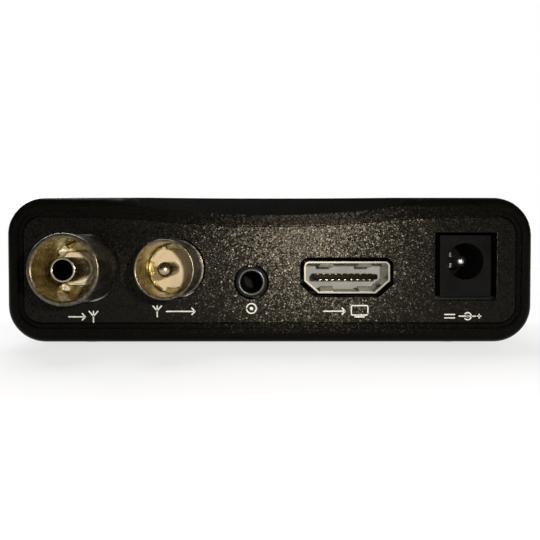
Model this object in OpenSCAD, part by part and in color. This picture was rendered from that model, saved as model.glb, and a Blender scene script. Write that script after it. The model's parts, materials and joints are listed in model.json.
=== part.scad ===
/* [Case] */
// Width of the case across its sides
case_w = 92; // [90:1:104]
// Height of the case without its feet
case_h = 25.4; // [24.6:0.2:30]
// Depth of the case from rim to rim
case_d = 60; // [58:1:90]
// Thickness of the case walls
wall = 1.8; // [1.5:0.1:2]
// Radius of the four long corners
corner_r = 6.5; // [6:0.1:6.8]
// Radius round the front and rear edges
edge_r = 1.8; // [1.4:0.1:1.9]
// Depth of the dip in the top of the rear opening
dip_depth = 1.6; // [0.6:0.1:1.8]
// Distance from a side of the case to the end of that dip
dip_margin = 12; // [11:1:18]
// Place where the dip turns from hollow to swell, as a share of its half width
dip_turn_share = 0.59; // [0.4:0.01:0.65]
// Height of the slope that leads down to the middle of the dip
lip_drop = 3.2; // [2.6:0.1:3.4]
// Width from a side of the case to the inner edge of its rim
rim_side = 2.1; // [2:0.1:2.4]
// Width from the top or the bottom to the inner edge of the rim
rim_end = 2.5; // [2.2:0.1:2.7]
// Corner radius of the opening inside the rim
mouth_r = 4; // [3.8:0.1:4.4]
// Depth of the step inside the rim
rim_step = 0.6; // [0.4:0.1:0.8]
// Width of the ledge inside the rim
ledge_w = 0.75; // [0.5:0.05:0.9]
// Thickness of the ledge
ledge_t = 1; // [0.8:0.1:1.2]
// Gap between the two halves of the case
seam_gap = 0.15; // [0.1:0.05:0.25]
// Height of the tongue that the lower half puts into the upper half
tongue_h = 1.2; // [0.8:0.1:1.6]

/* [Vents and feet] */
// Width of a vent slot
vent_w = 1.4; // [1:0.1:2]
// Length of a vent slot
vent_l = 15; // [10:1:18]
// Distance between vent slots
vent_pitch = 3.4; // [2.8:0.1:4]
// Number of vent slots in a row
vent_count = 9; // [5:1:10]
// Diameter of a rubber foot
foot_d = 8; // [6:0.5:10]
// Height of a foot below the case
foot_h = 0.8; // [0.5:0.1:1.5]
// Distance from a side of the case to the middle of a foot
foot_inset_x = 13; // [12:0.5:16]
// Distance from the front or the rear to the middle of a foot
foot_inset_y = 11; // [10:0.5:11.5]

/* [Panels] */
// Gap round each panel's raised face
panel_gap = 0.25; // [0.15:0.05:0.35]
// How far a panel's face lies inside the rim
panel_sink = 0.3; // [0.1:0.1:0.5]
// Thickness of a panel's flange behind the ledge
flange_t = 1.2; // [1:0.1:1.3]
// Gap round a connector in its panel hole
hole_gap = 0.3; // [0.2:0.05:0.4]

/* [Circuit board] */
// Height of the board's upper face above the underside of the case
board_z = 8; // [7.8:0.1:8.4]
// Thickness of the board
board_t = 1.6; // [1.2:0.1:1.7]
// Gap between the board and the side walls
board_gap = 1; // [0.6:0.1:1.4]

/* [Aerial sockets] */
// Place of the aerial input beside the middle, as a share of the case's width
rf_in_share = 0.35; // [0.348:0.001:0.355]
// Place of the aerial output beside the middle, as a share of the case's width
rf_out_share = 0.18; // [0.175:0.001:0.185]
// Height of both aerial sockets, as a share of the case's height
rf_z_share = 0.512; // [0.51:0.002:0.52]
// Outer diameter of the aerial input's barrel
rf_in_od = 11.4; // [11:0.1:11.6]
// Inner diameter of the aerial input's barrel
rf_in_id = 9.7; // [9.6:0.05:9.9]
// Length of the aerial input outside the rim
rf_in_out = 11.8; // [9:0.1:13]
// Outer diameter of the aerial output's barrel
rf_out_od = 9.5; // [9.4:0.05:9.6]
// Inner diameter of the aerial output's barrel
rf_out_id = 8.6; // [8.5:0.05:8.7]
// Length of the aerial output outside the rim
rf_out_out = 11.6; // [9:0.1:13]
// Diameter of the collar at the aerial output's root
rf_collar_d = 10.2; // [10:0.1:10.6]

/* [Tuner can] */
// Distance from an aerial socket to the side of the tuner's screening can
can_side = 6.4; // [6.1:0.1:6.6]
// Outer depth of the can
can_d = 16.8; // [14:0.2:17]
// Distance from the top of the aerial input's barrel to the top of the can
can_head = 0.1; // [0.1:0.1:1]
// Thickness of the can's sheet
can_t = 0.4; // [0.3:0.05:0.5]

/* [Audio video jack] */
// Place of the jack beside the middle, as a share of the case's width
av_share = 0.035; // [0.033:0.001:0.039]
// Height of the jack's bore above the board
av_rise = 2.6; // [2.5:0.1:3]
// Bore of the jack
av_bore = 3.6; // [3.55:0.05:3.7]
// Diameter of the jack's round nose
av_nose_d = 5.4; // [5:0.1:5.6]
// Width of the jack's body
av_body_w = 6.2; // [6:0.1:6.6]
// Depth of the jack's body
av_body_d = 12; // [11:0.5:14]

/* [Picture socket] */
// Place of the picture socket beside the middle, as a share of the case's width
hd_share = -0.146; // [-0.15:0.001:-0.142]
// Height of the middle of the picture socket above the board
hd_rise = 3.4; // [3.3:0.1:3.8]
// Outer width of the socket's shell
hd_w = 15; // [14.6:0.1:15.2]
// Outer height of the socket's shell
hd_h = 5.6; // [5.4:0.1:5.8]
// Width of the slanted lower corners
hd_cut_w = 2.5; // [2.2:0.1:2.8]
// Height of the slanted lower corners
hd_cut_h = 2.2; // [2:0.1:2.4]
// Radius of the shell's upper corners
hd_corner = 0.9; // [0.6:0.1:1.2]
// Thickness of the shell's sheet
hd_t = 0.35; // [0.3:0.05:0.4]
// Depth of the socket
hd_d = 11; // [10:0.5:12]
// Gap beside the socket's tongue
tongue_side = 1.35; // [1.1:0.05:1.6]
// Thickness of the tongue
tongue_t = 0.95; // [0.8:0.05:1.2]

/* [Power jack] */
// Place of the power jack beside the middle, as a share of the case's width
jack_share = -0.372; // [-0.374:0.001:-0.369]
// Width of the jack's block
jack_w = 9; // [8.8:0.1:9.2]
// Height of the jack's block
jack_h = 11; // [10.8:0.1:11.4]
// Depth of the jack's block
jack_d = 14.2; // [13:0.2:15]
// Bore of the jack
jack_bore = 6.3; // [6:0.1:6.5]
// Height of the jack's bore above its base
jack_rise = 6.4; // [6.3:0.1:6.6]
// Diameter of the pin in the jack
jack_pin_d = 2; // [1.7:0.1:2.2]

/* [Front of the case] */
// Width left between the smoked window and the keys, and between it and the data socket
window_margin = 2.5; // [2:0.1:3]
// Height of the smoked window
window_h = 13; // [12.6:0.2:14]
// Thickness of the window
window_t = 1; // [0.9:0.1:1.1]
// Place of the data socket beside the middle, as a share of the case's width
data_share = 0.361; // [0.359:0.001:0.366]
// Height of the data socket's middle above the board
data_rise = 3.1; // [3:0.1:3.4]
// Outer width of the data socket
data_w = 13.2; // [13:0.1:13.4]
// Outer height of the data socket
data_h = 5.8; // [5.7:0.1:5.9]
// Depth of the data socket
data_d = 14; // [12:0.5:15]

/* [Keys] */
// Place of the middle key beside the middle of the case, as a share of its width
key_share = -0.321; // [-0.324:0.001:-0.318]
// Distance between two keys
key_pitch = 7; // [6.8:0.1:7.2]
// Width of a key cap
key_w = 5; // [4.4:0.1:5.2]
// Height of a key cap
key_h = 4.4; // [4:0.2:5.4]
// How far a key stands out of the rim
key_out = 0.6; // [0.4:0.1:1]
// Travel of a key
key_travel = 0.3; // [0.2:0.05:0.4]
// Gap round a key in its hole
key_gap = 0.25; // [0.2:0.05:0.3]

/* [Hidden] */
$fn = 64;

// One overrun for every cut, and the clearance of a part that slides or sits in another
cut = 0.5;
fit = 0.05;

// The whole object is centred on its feet, from the key caps to the tip of the aerial input
case_back_y = (case_d + key_out - rf_in_out) / 2;
seam_z = case_h / 2;
seat_d = rim_step + ledge_t;
flange_back = seat_d + flange_t;
flange_gap = 0.2;
inner_half_w = case_w / 2 - wall;
ceiling_z = case_h - wall;
rf_z = case_h * rf_z_share;
rf_in_x = case_w * rf_in_share;
rf_out_x = case_w * rf_out_share;
av_x = case_w * av_share;
hd_x = case_w * hd_share;
jack_x = case_w * jack_share;
data_x = case_w * data_share;
key_x = case_w * key_share;
av_z = board_z + av_rise;
hd_z = board_z + hd_rise;
jack_drop = 0.2;
jack_base_z = board_z - jack_drop;
jack_z = jack_base_z + jack_rise;
data_z = board_z + data_rise;
key_z = seam_z;

// Basic solids and helpers

module in_case() translate([0, case_back_y, foot_h]) children();

// A box from its lowest to its highest corner
module block(low, high) translate(low) cube(high - low);

// An outline drawn in x and z, pushed from y0 to y1
module along_y(y0, y1) translate([0, y1, 0]) rotate([90, 0, 0]) linear_extrude(y1 - y0) children();

// A profile drawn as radius and y, turned about a line along y
module turned(x, z) translate([x, 0, z]) rotate([-90, 0, 0]) rotate_extrude() children();

// A rod along y
module rod(x, z, r, y0, y1) translate([x, y0, z]) rotate([-90, 0, 0]) cylinder(r = r, h = y1 - y0);

// A rectangle centred on x and standing on z0, as the outline of a cut or a block
module window_shape(x, z, w, h) translate([x - w / 2, z - h / 2]) square([w, h]);

// The same rectangle with rounded corners
module round_shape(x, z, w, h, r) {
    window_shape(x, z, w - 2 * r, h);
    window_shape(x, z, w, h - 2 * r);
    for (sx = [-1, 1], sz = [-1, 1])
        translate([x + sx * (w / 2 - r), z + sz * (h / 2 - r)]) circle(r);
}

// Outlines

arc_steps = 10;
dip_steps = 24;

function arc(x, z, r, from, to, steps) = [
    for (i = [0:steps]) let (a = from + (to - from) * i / steps) [x + r * cos(a), z + r * sin(a)]
];

corner_x = case_w / 2 - corner_r;

// The case's outline, moved inwards
function case_points(inset) = let (r = corner_r - inset, low = corner_r, high = case_h - corner_r) concat(
    arc(corner_x, high, r, 0, 90, arc_steps),
    arc(-corner_x, high, r, 90, 180, arc_steps),
    arc(-corner_x, low, r, 180, 270, arc_steps),
    arc(corner_x, low, r, 270, 360, arc_steps)
);

dip_half_w = case_w / 2 - dip_margin;
dip_turn_x = dip_half_w * dip_turn_share;

// The dip is a hollow arc in the middle that runs into a swelling arc at each end
dip_angle = 2 * atan(dip_depth / dip_half_w);
hollow_r = dip_turn_x / sin(dip_angle);
swell_r = (dip_half_w - dip_turn_x) / sin(dip_angle);

function dip_at(x) = let (d = abs(x))
    d >= dip_half_w ? 0
    : d > dip_turn_x ? swell_r - sqrt(pow(swell_r, 2) - pow(dip_half_w - d, 2))
    : dip_depth - hollow_r + sqrt(pow(hollow_r, 2) - pow(d, 2));

// The outline of an opening or a panel: rounded corners, and a top edge that may dip
function mouth_points(side, end, r, dips) = let (
    a = case_w / 2 - side, low = end, high = case_h - end,
    xs = [for (i = [1:dip_steps - 1]) dip_half_w * (1 - 2 * i / dip_steps)],
    top = dips ? [for (x = xs) [x, high - dip_at(x)]] : []
) concat(
    arc(r - a, low + r, r, 180, 270, arc_steps),
    arc(a - r, low + r, r, 270, 360, arc_steps),
    arc(a - r, high - r, r, 0, 90, arc_steps),
    dips ? [[dip_half_w, high]] : [],
    top,
    dips ? [[-dip_half_w, high]] : [],
    arc(r - a, high - r, r, 90, 180, arc_steps)
);

// Case

// The section through a long edge: a strip of the given width, with its outer corners rounded
module edge_section(width, depth, round) {
    square([width - round, depth]);
    translate([0, round]) square([width, depth - 2 * round]);
    for (y = [round, depth - round]) translate([width - round, y]) circle(round);
}

// The solid case, with rounded long corners and rounded front and rear edges
module case_block() {
    block([-corner_x, -case_d, corner_r], [corner_x, 0, case_h - corner_r]);
    for (up = [0, 1]) translate([0, 0, up ? case_h - corner_r : corner_r]) mirror([0, 0, 1 - up])
        translate([-corner_x, 0, 0]) rotate([90, 0, 90]) linear_extrude(2 * corner_x)
            rotate(90) edge_section(corner_r, case_d, edge_r);
    for (right = [0, 1]) mirror([right, 0, 0]) {
        translate([corner_x, 0, corner_r]) linear_extrude(case_h - 2 * corner_r)
            mirror([0, 1]) edge_section(corner_r, case_d, edge_r);
        for (up = [0, 1]) translate([corner_x, 0, up ? case_h - corner_r : corner_r]) mirror([0, 0, 1 - up])
            rotate([90, 0, 0]) rotate_extrude(angle = 90) edge_section(corner_r, case_d, edge_r);
    }
}

// Over the dip the rounded rear edge grows into a slope, which is deepest in the middle
lip_angle = 45;
lip_wall = 1;
lip_reach = 12;

module lip_slope(inward) {
    edge = edge_r * (cos(lip_angle) + sin(lip_angle) - 1) - fit;
    growth = lip_drop * sin(lip_angle) - edge;
    translate([0, 0, case_h]) rotate([lip_angle, 0, 0]) linear_extrude(lip_reach, center = true) polygon(concat(
        [[dip_half_w, corner_r], [-dip_half_w, corner_r]],
        [for (i = [0:dip_steps]) let (x = dip_half_w * (2 * i / dip_steps - 1))
            [x, -inward - edge - growth * dip_at(x) / dip_depth]]
    ));
}

module seat_cut(dips) {
    along_y(-rim_step, cut) polygon(mouth_points(rim_side, rim_end, mouth_r, dips));
    along_y(-seat_d - cut, cut)
        polygon(mouth_points(rim_side + ledge_w, rim_end + ledge_w, mouth_r - ledge_w, dips));
}

// The hollow case between two heights, before anything stands in it
module housing(low, high, dips) difference() {
    intersection() {
        case_block();
        block([-case_w, -case_d - cut, low], [case_w, cut, high]);
    }
    difference() {
        along_y(seat_d - case_d, -seat_d) polygon(case_points(wall));
        if (dips) lip_slope(lip_wall);
    }
    if (dips) lip_slope(0);
    seat_cut(dips);
    translate([0, -case_d, 0]) mirror([0, 1, 0]) seat_cut(false);
}

// Screws stand beside the board's middle, and each passes a boss in both halves
screw_inset = 10;
screw_from_rear = 24.6;
screw_from_front = 17.8;
screw_x = case_w / 2 - screw_inset;
screw_ys = [-screw_from_rear, screw_from_front - case_d];
screw_d = 2.2;
head_d = 4;
head_h = 1.4;
head_sink = 2.4;
screw_l = 13;
boss_d = 6;

module at_screws() for (x = [-screw_x, screw_x], y = screw_ys) translate([x, y, 0]) children();

module at_feet() for (sx = [-1, 1], y = [-foot_inset_y, foot_inset_y - case_d])
    translate([sx * (case_w / 2 - foot_inset_x), y, 0]) children();

foot_sink = 0.6;
foot_gap = 0.15;

// A row of round-ended slots across the case, centred on x and y
module vent_row(x, y, z) for (i = [0:vent_count - 1])
    translate([x + (i - (vent_count - 1) / 2) * vent_pitch, y, z - cut]) {
        translate([-vent_w / 2, (vent_w - vent_l) / 2, 0]) cube([vent_w, vent_l - vent_w, wall + 2 * cut]);
        for (s = [-1, 1]) translate([0, s * (vent_l - vent_w) / 2, 0])
            cylinder(d = vent_w, h = wall + 2 * cut);
    }

vent_x = 0;
vent_from_rear = 21;
vent_row_gap = 3.6;
vent_ys = [-vent_from_rear, -vent_from_rear - vent_l - vent_row_gap];

// Ribs that hold a panel's flange against the ledge
rib_t = 1.2;
rib_l = 2.6;
rib_h = 2;
rib_gap = 0.1;
rear_rib_shares = [-0.267, 0.083];
front_rib_shares = [-0.435, -0.2, 0.267];

module panel_ribs(z0, z1) {
    for (x = case_w * rear_rib_shares) block(
        [x - rib_t / 2, -flange_back - rib_gap - rib_l, z0], [x + rib_t / 2, -flange_back - rib_gap, z1]);
    for (x = case_w * front_rib_shares) block(
        [x - rib_t / 2, flange_back + rib_gap - case_d, z0],
        [x + rib_t / 2, flange_back + rib_gap + rib_l - case_d, z1]);
}

// The tongue takes the inner half of the wall, and crosses the seam
tongue_d = wall / 2;

module tongue_shape(grow) polygon(case_points(wall - tongue_d - grow));

module top_cover() color([0.09, 0.09, 0.09]) in_case() difference() {
    union() {
        difference() {
            housing(seam_z + seam_gap / 2, case_h + cut, true);
            intersection() {
                along_y(seat_d - fit - case_d, fit - seat_d) tongue_shape(fit);
                block([-case_w, -case_d, 0], [case_w, 0, seam_z + tongue_h + fit]);
            }
        }
        at_screws() translate([0, 0, board_z]) cylinder(d = boss_d, h = ceiling_z - board_z + fit);
        panel_ribs(ceiling_z - rib_h, ceiling_z + fit);
    }
    at_screws() translate([0, 0, board_z - cut])
        cylinder(d = screw_d + fit, h = screw_l - board_z + head_sink + 2 * cut);
    for (y = vent_ys) vent_row(vent_x, y, ceiling_z);
}

module bottom_cover() color([0.09, 0.09, 0.09]) in_case() difference() {
    union() {
        housing(-cut, seam_z - seam_gap / 2, false);
        intersection() {
            along_y(seat_d - case_d, -seat_d) difference() {
                tongue_shape(0);
                polygon(case_points(wall));
            }
            block([-case_w, -case_d, seam_z - tongue_h], [case_w, 0, seam_z + tongue_h]);
        }
        at_screws() translate([0, 0, wall - fit]) cylinder(d = boss_d, h = board_z - board_t - wall + fit);
        panel_ribs(wall - fit, wall + rib_h);
    }
    at_screws() {
        translate([0, 0, -cut]) cylinder(d = head_d + 4 * fit, h = head_sink + cut);
        cylinder(d = screw_d + 4 * fit, h = board_z);
    }
    at_feet() translate([0, 0, -cut]) cylinder(d = foot_d + 2 * foot_gap, h = foot_sink + cut);
    for (y = vent_ys) vent_row(vent_x, y, 0);
}

// Rear panel

// An outline with rounded upper corners and slanted lower corners
module slanted_shape(x, z, w, h, cut_w, cut_h, r) translate([x, z]) {
    polygon([
        [-w / 2, h / 2 - r], [-w / 2, cut_h - h / 2], [cut_w - w / 2, -h / 2],
        [w / 2 - cut_w, -h / 2], [w / 2, cut_h - h / 2], [w / 2, h / 2 - r]
    ]);
    translate([r - w / 2, h / 2 - r]) square([w - 2 * r, r]);
    for (s = [-1, 1]) translate([s * (w / 2 - r), h / 2 - r]) circle(r);
}

module panel_plate(dips) {
    raised = rim_side + ledge_w + panel_gap;
    raised_end = rim_end + ledge_w + panel_gap;
    along_y(-seat_d, -panel_sink)
        polygon(mouth_points(raised, raised_end, mouth_r - ledge_w - panel_gap, dips));
    held = wall + flange_gap;
    along_y(-flange_back, -seat_d) polygon(mouth_points(held, held, corner_r - held, dips));
}

hd_gap = 0.6;
jack_gap = 0.85;

module rear_panel() color([0.13, 0.125, 0.12]) in_case() difference() {
    panel_plate(true);
    rod(rf_in_x, rf_z, rf_in_od / 2 + hole_gap, -case_d / 2, cut);
    rod(rf_out_x, rf_z, rf_collar_d / 2 + hole_gap / 2, -case_d / 2, cut);
    rod(av_x, av_z, av_nose_d / 2 + hole_gap, -case_d / 2, cut);
    along_y(-case_d / 2, cut)
        slanted_shape(hd_x, hd_z, hd_w + 2 * hd_gap, hd_h + 2 * hd_gap, hd_cut_w, hd_cut_h, hd_corner + hd_gap);
    along_y(-case_d / 2, cut) window_shape(
        jack_x, jack_base_z + jack_h / 2, jack_w + 2 * jack_gap, jack_h + jack_gap);
}

// Front panel with its window

window_rim = 1.5;
window_z = seam_z;
data_gap = 0.4;
window_from = key_x + key_pitch + key_w / 2 + key_gap + window_margin;
window_to = data_x - data_w / 2 - data_gap - window_margin;
window_w = window_to - window_from;
window_x = (window_from + window_to) / 2;
key_corner = 0.8;
data_corner = 0.6;

module front_side() translate([0, -case_d, 0]) mirror([0, 1, 0]) children();

module at_keys(i) translate([key_x + i * key_pitch, 0, 0]) children();

module front_panel() color([0.06, 0.06, 0.065]) in_case() front_side() difference() {
    panel_plate(false);
    along_y(-panel_sink - window_t, cut)
        round_shape(window_x, window_z, window_w + 2 * fit, window_h + 2 * fit, data_corner);
    along_y(-case_d / 2, cut)
        window_shape(window_x, window_z, window_w - 2 * window_rim, window_h - 2 * window_rim);
    for (i = [-1:1]) at_keys(i) along_y(-case_d / 2, cut)
        round_shape(0, key_z, key_w + 2 * key_gap, key_h + 2 * key_gap, key_corner);
    along_y(-case_d / 2, cut)
        round_shape(data_x, data_z, data_w + 2 * data_gap, data_h + 2 * data_gap, data_corner);
}

module display_window() color([0.1, 0.03, 0.03, 0.7]) in_case() front_side()
    along_y(-panel_sink - window_t, -panel_sink)
        round_shape(window_x, window_z, window_w, window_h, data_corner);

// Feet and screws

foot_bevel = 0.3;

module feet() color([0.05, 0.05, 0.05]) at_feet() translate([0, case_back_y, 0]) rotate_extrude() polygon([
    [0, 0], [foot_d / 2 - foot_bevel, 0], [foot_d / 2, foot_bevel],
    [foot_d / 2, foot_h + foot_sink], [0, foot_h + foot_sink]
]);

cross_w = 0.5;
cross_l = 2.4;
cross_depth = 0.8;

module case_screws() color([0.5, 0.5, 0.52]) in_case() at_screws() difference() {
    union() {
        translate([0, 0, head_sink - head_h]) cylinder(d = head_d, h = head_h);
        translate([0, 0, head_sink]) cylinder(d = screw_d, h = screw_l);
    }
    for (a = [0, 90]) rotate(a) translate([-cross_l / 2, -cross_w / 2, head_sink - head_h - cut])
        cube([cross_l, cross_w, cross_depth + cut]);
}

// Main board

board_end_gap = 0.4;
board_edge = flange_back + board_end_gap;
board_front = 10.6;
notch_gap = 0.4;
board_hole_gap = 0.3;
board_hole_d = screw_d + 2 * board_hole_gap;
tab_gap = 1;
tab_x = data_x - data_w / 2 - tab_gap;
can_shift = 0.3;
can_x = (rf_in_x + rf_out_x) / 2 - can_shift;
can_w = rf_in_x - rf_out_x + 2 * can_side;
can_h = rf_z + rf_in_od / 2 + can_head - board_z;
can_notch_d = 4;
can_notch = board_edge + can_notch_d;

module main_board() color([0.05, 0.25, 0.12]) in_case() difference() {
    half = inner_half_w - board_gap;
    translate([0, 0, board_z - board_t]) linear_extrude(board_t) polygon([
        [-half, -board_edge], [can_x - can_w / 2 - notch_gap, -board_edge],
        [can_x - can_w / 2 - notch_gap, -can_notch], [can_x + can_w / 2 + notch_gap, -can_notch],
        [can_x + can_w / 2 + notch_gap, -board_edge], [half, -board_edge],
        [half, flange_back + notch_gap - case_d], [tab_x, flange_back + notch_gap - case_d],
        [tab_x, board_front - case_d], [-half, board_front - case_d]
    ]);
    at_screws() cylinder(d = board_hole_d, h = case_h);
}

// Tuner can with both aerial sockets

can_y = -board_edge;
rf_root_l = 3.4;
rf_root = board_edge + rf_root_l;
apron = 1.4;

module tuner_case() color([0.72, 0.72, 0.7]) in_case() difference() {
    union() {
        difference() {
            block([can_x - can_w / 2, can_y - can_d, board_z], [can_x + can_w / 2, can_y, board_z + can_h]);
            block([can_x - can_w / 2 + can_t, can_y - can_d + can_t, board_z - cut],
                [can_x + can_w / 2 - can_t, can_y - can_t, board_z + can_h + cut]);
        }
        block([can_x - can_w / 2, can_y - can_t, board_z - apron], [can_x + can_w / 2, can_y, board_z + cut]);
        block([(rf_in_x + rf_out_x - can_t) / 2, can_y - can_d + can_t - fit, board_z],
            [(rf_in_x + rf_out_x + can_t) / 2, can_y - can_t + fit, board_z + can_h]);
    }
    rod(rf_in_x, rf_z, rf_in_od / 2, -case_d / 2, cut);
    rod(rf_out_x, rf_z, rf_out_od / 2, -case_d / 2, cut);
}

lid_skirt = 3;
lid_hole_d = 2.4;

module tuner_lid() color([0.76, 0.76, 0.74]) in_case() difference() {
    out = can_t + fit;
    top = board_z + can_h;
    block([can_x - can_w / 2 - out, can_y - can_d - out, top - lid_skirt],
        [can_x + can_w / 2 + out, can_y + fit, top + can_t]);
    block([can_x - can_w / 2 - fit, can_y - can_d - fit, top - lid_skirt - cut],
        [can_x + can_w / 2 + fit, can_y + 2 * cut, top]);
    for (i = [-1:1], j = [0, 1]) translate([can_x + i * can_w / 3, can_y - can_d * (1 + 2 * j) / 4, top - cut])
        cylinder(d = lid_hole_d, h = can_t + 2 * cut);
}

// A barrel turned about y: its rim is rounded, and its floor lies at y
module barrel_section(r_out, r_in, root, tip, floor_y, hole_r, round) {
    translate([hole_r, -root]) square([r_out - hole_r, root + floor_y]);
    translate([r_in, floor_y]) square([r_out - r_in, tip - round - floor_y]);
    translate([r_in + round, floor_y]) square([r_out - r_in - 2 * round, tip - floor_y]);
    for (r = [r_in + round, r_out - round]) translate([r, tip - round]) circle(round);
}

rf_in_floor = 0.6;
rf_in_hole_r = 3.2;
barrel_round = 0.3;
stake_w = 1.1;
stake_h = 1.2;
stake_r = 3.6;

module rf_in_shell() color([0.72, 0.66, 0.5]) in_case() {
    turned(rf_in_x, rf_z) barrel_section(
        rf_in_od / 2, rf_in_id / 2, rf_root, rf_in_out, rf_in_floor, rf_in_hole_r, barrel_round);
    for (a = [45:90:315]) translate([rf_in_x, rf_in_floor - fit, rf_z]) rotate([0, a, 0])
        translate([stake_r, 0, -stake_w / 2]) cube([rf_in_id / 2 - stake_r + fit, stake_h + fit, stake_w]);
}

rf_in_disc_y = 3.2;
contact_r = 1.95;
contact_bore_r = 1.25;
contact_mouth_r = 1.6;
contact_funnel = 0.8;
contact_root = 2;
contact_slit = 0.45;
contact_slit_l = 7;
disc_step_r = 2.5;
disc_step_h = 0.5;
disc_flat = 2.75;

module rf_in_insulator() color([0.87, 0.82, 0.68]) in_case() difference() {
    union() {
        rod(rf_in_x, rf_z, rf_in_hole_r, -rf_root, rf_in_disc_y);
        rod(rf_in_x, rf_z, disc_step_r, rf_in_disc_y - fit, rf_in_disc_y + disc_step_h);
    }
    rod(rf_in_x, rf_z, contact_r, -case_d / 2, case_d / 2);
    for (s = [0, 1]) translate([rf_in_x, 0, rf_z]) mirror([0, 0, s])
        block([-rf_in_od, rf_in_floor + fit, disc_flat], [rf_in_od, rf_in_disc_y + cut, rf_in_od]);
}

module rf_in_contact() color([0.8, 0.72, 0.5]) in_case() difference() {
    turned(rf_in_x, rf_z) polygon([
        [0, -rf_root - contact_root], [contact_bore_r, -rf_root - contact_root], [contact_r, -rf_root],
        [contact_r, rf_in_out - contact_bore_r / 4], [contact_r - contact_bore_r / 4, rf_in_out],
        [contact_mouth_r, rf_in_out], [contact_bore_r, rf_in_out - contact_funnel],
        [contact_bore_r, 0], [0, 0]
    ]);
    for (a = [0, 90]) translate([rf_in_x, 0, rf_z]) rotate([0, a, 0])
        block([-rf_in_od, rf_in_out - contact_slit_l, -contact_slit / 2],
            [rf_in_od, rf_in_out + cut, contact_slit / 2]);
}

rf_out_floor = 1;
rf_out_disc_y = 2;
rf_out_disc_r = 3.95;
rf_out_hole_r = 2.85;
notch_r = 3.35;
tab_angle = 56;
pin_r = 1.18;
collar_y = 0.2;

module rf_out_shell() color([0.7, 0.66, 0.54]) in_case() {
    turned(rf_out_x, rf_z) barrel_section(
        rf_out_od / 2, rf_out_id / 2, rf_root, rf_out_out, rf_out_floor, rf_out_hole_r, barrel_round / 2);
    turned(rf_out_x, rf_z) translate([rf_out_od / 2 - fit, -flange_back])
        square([(rf_collar_d - rf_out_od) / 2 + fit, flange_back + collar_y]);
}

// A disc with four tabs, on a sleeve that holds the pin
module rf_out_insulator() color([0.83, 0.75, 0.58]) in_case() difference() {
    union() {
        rod(rf_out_x, rf_z, rf_out_hole_r, -rf_root, rf_out_floor + fit);
        rod(rf_out_x, rf_z, rf_out_disc_r, rf_out_floor, rf_out_disc_y);
    }
    rod(rf_out_x, rf_z, pin_r, -case_d / 2, case_d / 2);
    for (a = [0:90:270]) translate([rf_out_x, rf_out_floor - cut, rf_z]) rotate([-90, 0, 0])
        rotate(a + tab_angle / 2) rotate_extrude(angle = 90 - tab_angle)
            translate([notch_r, 0]) square([rf_out_id, case_h]);
}

module rf_out_pin() color([0.78, 0.7, 0.5]) in_case() {
    rod(rf_out_x, rf_z, pin_r, -rf_root - contact_root, rf_out_out - pin_r);
    turned(rf_out_x, rf_z) intersection() {
        translate([0, rf_out_out - pin_r]) circle(pin_r);
        translate([0, rf_out_out - pin_r]) square(pin_r);
    }
}

// Audio video jack

av_ring_r = 2.3;
av_funnel = 0.4;
av_nose_y = -0.1;
av_face_y = flange_back + fit;
av_wall = 0.9;
slot_w = 1.4;
spring_t = 0.3;
av_spring_ys = [-4.5, -8, -11.5];

module av_jack_body() color([0.07, 0.07, 0.07]) in_case() difference() {
    union() {
        block([av_x - av_body_w / 2, -av_face_y - av_body_d, board_z],
            [av_x + av_body_w / 2, -av_face_y, av_z + av_rise]);
        rod(av_x, av_z, av_nose_d / 2, -av_face_y - fit, av_nose_y);
    }
    turned(av_x, av_z) polygon([
        [0, -av_face_y - av_body_d + av_wall], [av_bore / 2, -av_face_y - av_body_d + av_wall],
        [av_bore / 2, av_nose_y - av_funnel], [av_ring_r, av_nose_y], [av_ring_r, cut], [0, cut]
    ]);
    for (y = av_spring_ys)
        block([av_x - slot_w / 2, y - slot_w / 2, av_z], [av_x + slot_w / 2, y + slot_w / 2, case_h]);
}

module av_jack_springs() color([0.8, 0.75, 0.55]) in_case() for (y = av_spring_ys) difference() {
    block([av_x - slot_w / 2 + fit, y - slot_w / 2 + fit, av_z + av_bore / 2 - spring_t / 2],
        [av_x + slot_w / 2 - fit, y + slot_w / 2 - fit, av_z + av_rise + spring_t]);
    rod(av_x, av_z, av_bore / 2, y - slot_w, y + slot_w);
}

// Picture socket

hd_face_y = -0.1;
hd_hollow = 8;
hd_block_y = hd_face_y - hd_hollow;
hd_tongue_sink = 2.6;
hd_tongue_y = hd_face_y - hd_tongue_sink;
tongue_w = hd_w - 2 * hd_t - 2 * tongue_side;
finger_w = 2.4;
finger_l = 4.6;
finger_x = 3.4;
finger_slit = 0.3;
finger_sink = 0.7;
finger_y = hd_face_y - finger_sink;
contact_count = 19;
contact_w = 0.3;
contact_t = 0.12;

module hd_shape(inset) slanted_shape(hd_x, hd_z, hd_w - 2 * inset, hd_h - 2 * inset,
    hd_cut_w - inset / 2, hd_cut_h - inset / 2, hd_corner - inset);

// The shell's spring fingers are cut free on three sides
module finger_slits(x, z) {
    for (s = [-1, 1]) translate([x + s * (finger_w + finger_slit) / 2, 0, z])
        block([-finger_slit / 2, finger_y - finger_l, -hd_t], [finger_slit / 2, finger_y, hd_t]);
    block([x - finger_w / 2 - finger_slit, finger_y - finger_slit, z - hd_t],
        [x + finger_w / 2 + finger_slit, finger_y, z + hd_t]);
}

module hd_socket_shell() color([0.75, 0.75, 0.74]) in_case() difference() {
    along_y(hd_face_y - hd_d, hd_face_y) hd_shape(0);
    along_y(hd_face_y - hd_d - cut, hd_face_y + cut) hd_shape(hd_t);
    for (sx = [-1, 1], sz = [-1, 1])
        finger_slits(hd_x + sx * finger_x, hd_z + sz * (hd_h - hd_t) / 2);
}

module hd_socket_block() color([0.62, 0.62, 0.6]) in_case()
    along_y(hd_face_y - hd_d, hd_block_y) hd_shape(hd_t);

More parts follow.
